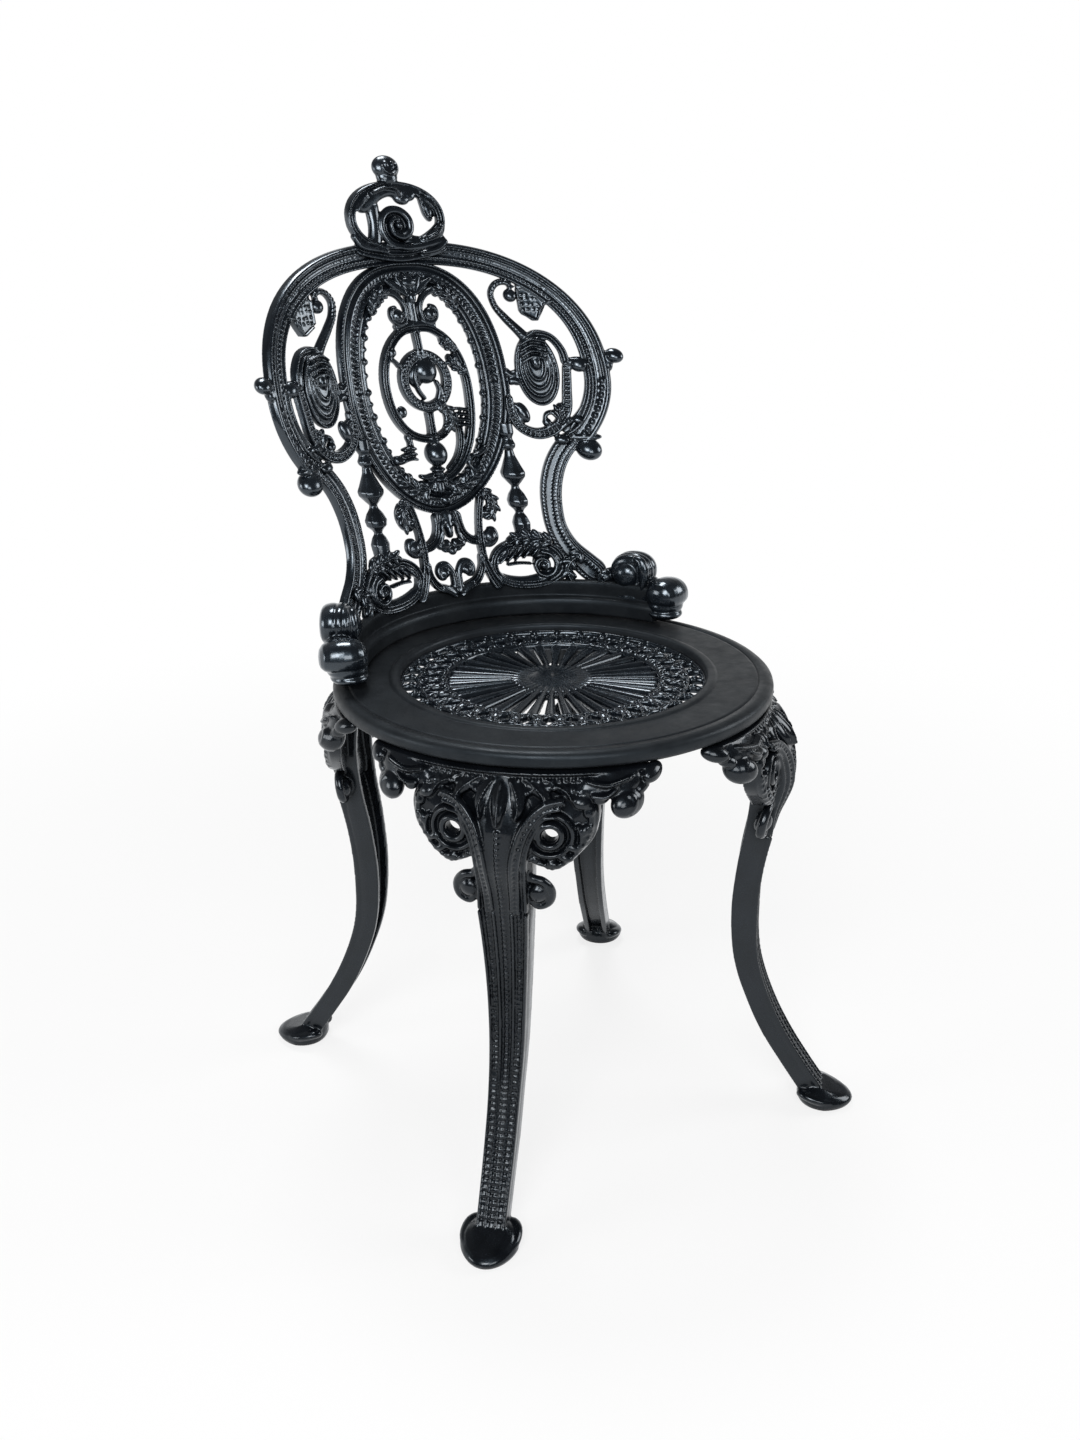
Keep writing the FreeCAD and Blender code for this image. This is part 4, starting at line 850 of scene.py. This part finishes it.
# Strands that spring over each volute and run down into the post, from its middle outwards.
STRANDS = [[(52, 393, 4, -11), (36, 390, 4.4, -6), (22, 377, 4.4, -4), (12.5, 352, 4.2, -2.6),
            (9.5, 322, 4, -2), (8, 290, 3.4, -1.6)],
           [(50, 387, 4, -11.5), (36, 384, 4.2, -8.5), (25.5, 372, 4.2, -7.5), (17.5, 350, 4.2, -6.4),
            (14.5, 322, 4, -4.6), (13.5, 290, 3.4, -2.4)],
           [(46, 380, 3.6, -13), (35, 378, 4, -11.5), (28, 367, 4, -11), (22, 350, 4.2, -10.5),
            (19.5, 322, 4, -8), (19.5, 290, 3.4, -2)]]
PETALS = [[(0, 406, 10, -5), (0, 396, 13, -2), (0, 384, 10, 0), (0, 373, 4, -1)],
          [(6, 407, 8, -6), (13, 398, 12, -4), (16, 387, 9, -3), (14, 378, 4, -3)],
          [(17, 407, 9, -9), (27, 402, 12, -7), (35, 395, 9, -8), (37, 388, 4, -9)],
          [(31, 408, 9, -11), (43, 403, 11, -11), (53, 398, 9, -13), (58, 391, 5, -15)]]
# The foot pad's middle and radius, and its sections upwards: share of the radius, and rise.
PAD_MIDDLE, PAD_RADIUS = 272, 27
PAD_SECTIONS = [(0.7, 0), (0.78, 0), (0.93, 2.2), (1.0, 6), (1.0, 8.5), (0.95, 12), (0.8, 16), (0.55, 19)]


def on_post(points):
    """Lays (across, height, depth) out on a leg's front."""
    across, height, depth = points.T
    return np.stack([np.interp(height, POST_LINE[:, 0], POST_LINE[:, 1]) + depth, across, height], 1)


def on_head(points):
    """Lays (across, height, depth) out on the curved plate of a leg's head."""
    across, height, depth = points.T
    reach = np.interp(height, HEAD_LINE[:, 0], HEAD_LINE[:, 1]) + depth
    return np.stack([np.sqrt(reach ** 2 - across ** 2), across, height], 1)


def make_leg():
    """One leg casting about the seat's axis: its post with beads and strands, head and foot."""
    form = Form(unbent)
    rings = []
    for height, outer, inner, width in POST_LINE:
        half = width / 2
        share = min(1, max(0, (height - ROUND_FROM) / ROUND_OVER))
        front = FLAT_FRONT + (ROUND_FRONT - FLAT_FRONT) * share
        right = [(inner, half)] + [(outer - back, half - aside) for back, aside in front] + [(outer, 0)]
        hollow = [(outer - 13, half - 6), (inner, half - 6)]
        left = [(x, -y) for x, y in right[-2::-1]]
        corners = right + left + [(x, -y) for x, y in hollow[::-1]] + hollow
        rings.append([(x, y, height) for x, y in corners])
    form.add(rings)
    form.bend = on_post
    # The lines and beads run from the foot to where the post widens into the head.
    rows = [(0, height, width) for height, outer, inner, width in LEG_STATIONS[:7]]
    rows.append((0, 290, 46))
    for share in (0.86, -0.86, 0.34, -0.34):
        sweep(form, [(-share * width / 2, height, 3.4, -1.6) for middle, height, width in rows])
    for share in (0.6, -0.6):
        beads(form, rows, share, 4.6, (1.9, 1.7, 1.6), 0.4)
    beads(form, rows + [(0, 330, 50), (0, 368, 50)], 0, 4.6, (2.1, 2.1, 1.8), 0.6)
    add_strands(form)
    add_head(form)
    add_foot(form)
    return fused("leg", form, COARSE, 2, (0, 0, 0))


def add_strands(form):
    """Acanthus: strands that flow off the volutes into the post, and petals above them."""
    for strand in STRANDS:
        both(sweep, form, strand)
    first, second = np.array(STRANDS[0]), np.array(STRANDS[1])
    middle = [(across, height, 3, lift) for across, height, width, lift in (first + second) / 2]
    both(beads, form, middle, 0, 4.4, 1.5, 2.6)
    for petal in PETALS:
        both(sweep, form, petal, DOME)
        both(sweep, form, [(across, height, 1.8, lift + 2.4) for across, height, width, lift in petal])


def add_head(form):
    """The knee: apron, rolled wing ends, pierced volutes, lower curls and the flange on top."""
    form.bend = on_head
    sweep(form, [(-112, 406, 15, -3), (0, 406, 15, -3), (112, 406, 15, -3)], PLATE)
    sweep(form, [(-114, 411, 3), (0, 411, 3), (114, 411, 3)])
    beads(form, [(-94, 406, 4), (94, 406, 4)], 0, 5.2, 1.6, 1.0)
    sweep(form, [(0, 404, 50, -3), (0, 372, 50, -3), (0, 330, 46, -3), (0, 298, 44, -3)], PLATE)
    for side in (1, -1):
        add_volute(form, side)
        add_wing(form, side)
    both(sweep, form, [(12, 348, 8, -1), (17, 333, 8, -1), (24, 322.5, 8, -1), (33, 319.5, 7.5, -1),
                       (39.5, 310, 7.5, -1), (37.5, 299, 7, -1), (29.5, 295.5, 7, -1), (22.5, 302, 6, -1)])
    both_blobs(form, (29, 307.5), -2, (9.5, 9.5, 8))
    form.bend = unbent
    corners = ((140, 407), (191, 407), (191, 413), (140, 413))
    form.add([[(x, across, height) for x, height in corners] for across in (-34, 34)])


def add_volute(form, side):
    """One pierced volute beside the post, with its beaded rim, turns and the leaves on its edge."""
    centre, eye = (side * 42, 370), (side * 40, 362.5)
    full = outline(centre, 33, 34, 39, (3, 1.5))
    sweep(form, [(*row, -3) for row in band_between(full, outline(eye, 6, 6, 6))], PLATE, closed=True)
    rim = band_between(full, outline(centre, 27, 28, 33, (3, 1.5)))
    sweep(form, [(*row, -1.5) for row in rim], closed=True)
    beads(form, [(*row, -2) for row in rim][::3], 0, 0, 2.0, 5.0, 0, True)
    ring = band_between(outline(eye, 12.5, 12.5, 12.5, count=48), outline(eye, 6.6, 6.6, 6.6, count=48))
    sweep(form, [(*row, 1) for row in ring], closed=True)
    sweep(form, curl(eye, 17.5, 18.5, 100, -side * 300, 5, 5))
    sweep(form, curl((eye[0] + side, eye[1] - 2), 23, 25, 90 - side * 60, -side * 190, 3, 4))
    for across, height, depth, size in ((64, 390, 1, (8, 6, 6)), (70, 382, 0, (5, 6, 5)),
                                        (58, 352, 1, (7, 3.5, 5)), (52, 343, 1, (7, 3.5, 5)),
                                        (43, 337, 1, (7, 4, 5)), (67, 366, 1, (3.5, 6, 5))):
        blob(form, (side * across, height), depth, size, side * -0.3)


def add_wing(form, side):
    """The apron's end under the seat rim: a swelling leaf, a hanging ball and a small rolled tip."""
    sweep(form, sided(side, [(60, 400, 12, 0), (76, 401, 18, 2), (94, 402, 19, 3), (108, 404, 14, 2)]), DOME)
    blob(form, (side * 98, 387), 1, (12.5, 12.5, 11))
    sweep(form, curl((side * 98, 387), 8.5, 3, 90, -side * 400, 5, 4, 6), step=1.2)
    blob(form, (side * 114.5, 406), 0, (7.5, 7.5, 8))
    blob(form, (side * 108, 397), 0, (6, 5, 6), side * 0.8)
    blob(form, (side * 79, 394), 3, (7, 6, 6), side * 0.5)
    sweep(form, sided(side, [(66, 407, 3, 5), (84, 404, 3.5, 8), (102, 408, 3, 7)]))
    sweep(form, sided(side, [(70, 396, 4, 4), (84, 396, 4, 7), (92, 402, 3, 7)]))


def add_foot(form):
    """A flat scrolled pad: two lobes beside the leg and a rounded toe scooped to the floor."""
    rings = []
    for share, rise in PAD_SECTIONS:
        ring = []
        for x, y in outline((0, 0), PAD_RADIUS, 25.5, 25.5, (2.1, 2.1), 40):
            toe = 1 - 0.2 * max(0, x / PAD_RADIUS)
            slope = 1 - 0.3 * x / PAD_RADIUS
            ring.append((PAD_MIDDLE + x * share, y * share * toe, rise * slope if rise > 8 else rise))
        rings.append(ring)
    form.add(rings)
    for side in (1, -1):
        sweep(form, [(247, side * 10, 10, 13), (253, side * 17, 13, 14), (264, side * 20, 14, 12),
                     (277, side * 17, 12, 9), (284, side * 9, 9, 8)])
    blob(form, (288, 0), 7, (9, 9, 5))


# Materials, light and camera


def mapped(tree, value, source, target=(0.0, 1.0), interpolation="LINEAR"):
    """A value carried over from the source range to the target range."""
    node = tree.nodes.new("ShaderNodeMapRange")
    node.interpolation_type = interpolation
    node.inputs["From Min"].default_value, node.inputs["From Max"].default_value = source
    node.inputs["To Min"].default_value, node.inputs["To Max"].default_value = target
    tree.links.new(value, node.inputs["Value"])
    return node.outputs["Result"]


def combined(tree, operation, first, second, clamped=False):
    node = tree.nodes.new("ShaderNodeMath")
    node.operation = operation
    node.use_clamp = clamped
    tree.links.new(first, node.inputs[0])
    tree.links.new(second, node.inputs[1])
    return node.outputs["Value"]


def enamel(name, dark, pale, shine, grain, coat, body):
    """Brushed black enamel on cast iron: uneven film, sand-cast grain, worn edges, and painted shade that
    dulls the hollows.
    """
    material = bpy.data.materials.new(name)
    material.use_nodes = True
    tree = material.node_tree
    nodes, links = tree.nodes, tree.links
    shader = nodes["Principled BSDF"]
    place = nodes.new("ShaderNodeTexCoord")

    def noise(scale, detail):
        node = nodes.new("ShaderNodeTexNoise")
        node.inputs["Scale"].default_value = scale
        node.inputs["Detail"].default_value = detail
        links.new(place.outputs["Object"], node.inputs["Vector"])
        return node.outputs["Fac"]

    def bumped(height, distance):
        node = nodes.new("ShaderNodeBump")
        node.inputs["Strength"].default_value = grain
        node.inputs["Distance"].default_value = distance
        links.new(height, node.inputs["Height"])
        return node

    # The film's colour in soft patches, paler where edges are worn.
    tint = nodes.new("ShaderNodeValToRGB")
    low, high = tint.color_ramp.elements
    low.position, low.color = 0.3, (*dark, 1)
    high.position, high.color = 0.72, (*pale, 1)
    links.new(noise(38, 4), tint.inputs["Fac"])
    edge = nodes.new("ShaderNodeNewGeometry")
    mix = nodes.new("ShaderNodeMix")
    mix.data_type = "RGBA"
    mix.inputs["B"].default_value = (0.075, 0.08, 0.09, 1)
    links.new(mapped(tree, edge.outputs["Pointiness"], (0.54, 0.64), (0, 0.3)), mix.inputs["Factor"])
    links.new(tint.outputs["Color"], mix.inputs["A"])
    links.new(mix.outputs["Result"], shader.inputs["Base Color"])
    links.new(mapped(tree, noise(90, 6), (0.3, 0.7), shine), shader.inputs["Roughness"])
    # The sand mould's fine grain, on broader brush lumps.
    sand = bumped(noise(900, 3), 0.0006)
    lumps = bumped(noise(160, 2), 0.0008)
    links.new(sand.outputs["Normal"], lumps.inputs["Normal"])
    links.new(lumps.outputs["Normal"], shader.inputs["Normal"])
    # Painted shade: ambient occlusion cuts the coat and specular in the hollows between the ornaments, so
    # they render darker and only what stands proud shines.
    occlusion_shade = nodes.new("ShaderNodeAmbientOcclusion")
    occlusion_shade.samples = 4
    occlusion_shade.inputs["Distance"].default_value = 0.012
    for socket, strongest in (("Coat Weight", coat), ("Specular IOR Level", body)):
        shaded = mapped(tree, occlusion_shade.outputs["AO"], (0.42, 0.9), (0.12 * strongest, strongest))
        links.new(shaded, shader.inputs[socket])
    shader.inputs["Coat Roughness"].default_value = 0.09
    shader.inputs["Coat Tint"].default_value = (0.9, 0.95, 1.0, 1)
    shader.inputs["Specular Tint"].default_value = (0.68, 0.85, 1.0, 1)
    return material


def make_camera():
    """The photograph's camera, from its azimuth, elevation, roll and distance to the seat."""
    back = Vector((math.sin(AZIMUTH) * math.cos(ELEVATION), -math.cos(AZIMUTH) * math.cos(ELEVATION),
                   math.sin(ELEVATION)))
    level = Vector((math.cos(AZIMUTH), math.sin(AZIMUTH), 0))
    rise = back.cross(level)
    right = level * math.cos(ROLL) + rise * math.sin(ROLL)
    up = rise * math.cos(ROLL) - level * math.sin(ROLL)
    place = Vector(SEAT_AXIS) + back * DISTANCE + right * SLIDE_RIGHT + up * SLIDE_UP
    data = bpy.data.cameras.new("camera")
    data.sensor_fit = "VERTICAL"
    data.sensor_height = 36
    data.lens = FOCAL_PIXELS / PHOTO_HEIGHT * data.sensor_height
    camera = new_object("camera", data)
    camera.matrix_world = Matrix((
        (right.x, up.x, back.x, place.x),
        (right.y, up.y, back.y, place.y),
        (right.z, up.z, back.z, place.z),
        (0, 0, 0, 1),
    ))
    bpy.context.scene.camera = camera


def soft_box(name, place, size, watts):
    """A square studio light that points at the seat."""
    data = bpy.data.lights.new(name, "AREA")
    data.size = size
    data.energy = watts
    lamp = new_object(name, data)
    lamp.location = place
    lamp.rotation_euler = (Vector((0, 0, SEAT_TOP)) - Vector(place)).to_track_quat("-Z", "Y").to_euler()


def floor_paper():
    """White paper that keeps the chair's shadow and runs out into the white background."""
    material = bpy.data.materials.new("floor_paper")
    material.use_nodes = True
    tree = material.node_tree
    nodes, links = tree.nodes, tree.links
    paper = nodes["Principled BSDF"]
    paper.inputs["Base Color"].default_value = (0.8, 0.8, 0.8, 1)
    paper.inputs["Roughness"].default_value = 0.9
    place = nodes.new("ShaderNodeTexCoord")
    away = nodes.new("ShaderNodeVectorMath")
    away.operation = "LENGTH"
    links.new(place.outputs["Object"], away.inputs[0])
    fade = mapped(tree, away.outputs["Value"], (0.3, 1.5), (0.78, 1.0), "SMOOTHSTEP")
    path = nodes.new("ShaderNodeLightPath")
    seen = combined(tree, "ADD", path.outputs["Is Camera Ray"], path.outputs["Is Glossy Ray"], True)
    white = nodes.new("ShaderNodeEmission")
    mix = nodes.new("ShaderNodeMixShader")
    links.new(combined(tree, "MULTIPLY", fade, seen), mix.inputs["Fac"])
    links.new(paper.outputs["BSDF"], mix.inputs[1])
    links.new(white.outputs["Emission"], mix.inputs[2])
    links.new(mix.outputs["Shader"], nodes["Material Output"].inputs["Surface"])
    return material


def make_studio():
    """Paper floor, white background, a dim room with a pale wall behind the chair, and six lamps."""
    mesh = bpy.data.meshes.new("floor")
    mesh.from_pydata([(-6, -6, 0), (6, -6, 0), (6, 6, 0), (-6, 6, 0)], [], [(0, 1, 2, 3)])
    mesh.materials.append(floor_paper())
    floor = new_object("floor", mesh)
    world = bpy.data.worlds.new("world")
    bpy.context.scene.world = world
    world.use_nodes = True
    tree = world.node_tree
    background = tree.nodes["Background"]
    place = tree.nodes.new("ShaderNodeTexCoord")
    axes = tree.nodes.new("ShaderNodeSeparateXYZ")
    tree.links.new(place.outputs["Generated"], axes.inputs["Vector"])
    behind = mapped(tree, axes.outputs["Y"], (0.0, 0.5))
    low = mapped(tree, axes.outputs["Z"], (0.15, 0.45), (1.0, 0.12))
    wall = combined(tree, "MULTIPLY", behind, low)
    path = tree.nodes.new("ShaderNodeLightPath")
    white = combined(tree, "MAXIMUM", path.outputs["Is Camera Ray"], wall)
    tree.links.new(mapped(tree, white, (0.0, 1.0), (0.07, 1.0)), background.inputs["Strength"])
    background.inputs["Color"].default_value = (1, 1, 1, 1)
    soft_box("key", (-1.5, -1.6, 2.0), 1.5, 28)
    soft_box("core", (-1.4, -1.5, 1.9), 0.8, 20)
    soft_box("near", (-0.5, -2.2, 1.3), 0.9, 16)
    soft_box("fill", (2.1, -0.9, 1.3), 1.0, 20)
    soft_box("top", (0.3, 0.8, 2.4), 0.65, 20)
    soft_box("side", (-2.2, 0.5, 0.9), 0.8, 12)
    bpy.context.scene.view_settings.view_transform = "Standard"


make_camera()
make_studio()
gloss = enamel("gloss_black", (0.0018, 0.0024, 0.0036), (0.006, 0.0078, 0.0105),
               shine=(0.16, 0.32), grain=0.12, coat=0.7, body=0.65)
# Painted shade: the legs get a darker, less shiny copy of the gloss enamel, standing in for the dim
# reflections on them; they are the same enamel as the back.
shaded_leg_gloss = enamel("leg_black_shaded", (0.0016, 0.002, 0.0028), (0.005, 0.006, 0.008),
                   shine=(0.18, 0.34), grain=0.12, coat=0.5, body=0.25)
satin = enamel("satin_black", (0.006, 0.007, 0.0085), (0.014, 0.016, 0.018),
               shine=(0.36, 0.5), grain=0.2, coat=0.04, body=0.22)
bolt_black = enamel("bolt_black", (0.012, 0.013, 0.014), (0.03, 0.031, 0.033),
                    shine=(0.35, 0.55), grain=0.2, coat=0.2, body=0.4)

for maker in (make_hoop, make_ring, make_medallion, make_rosettes, make_base_ornament, make_drops, make_crown,
              make_band, make_end_scrolls):
    mesh = maker()
    new_piece(mesh.name, mesh, "back", satin if maker is make_band else gloss)
for maker in (make_seat_rim, make_seat_ribs, make_seat_lace):
    mesh = maker()
    new_piece(mesh.name, mesh, "seat", satin if maker is make_seat_rim else gloss)
leg = make_leg()
for name, azimuth in LEG_AZIMUTHS.items():
    mesh = leg.copy()
    mesh.transform(Matrix.Translation((0, AXIS_Y, 0)) @ Matrix.Rotation(math.radians(azimuth), 4, "Z"))
    new_piece(name + "_casting", mesh, name, shaded_leg_gloss)
for name in ("leg_bolts", "back_bolts"):
    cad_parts[name].material_slots[0].material = bolt_black
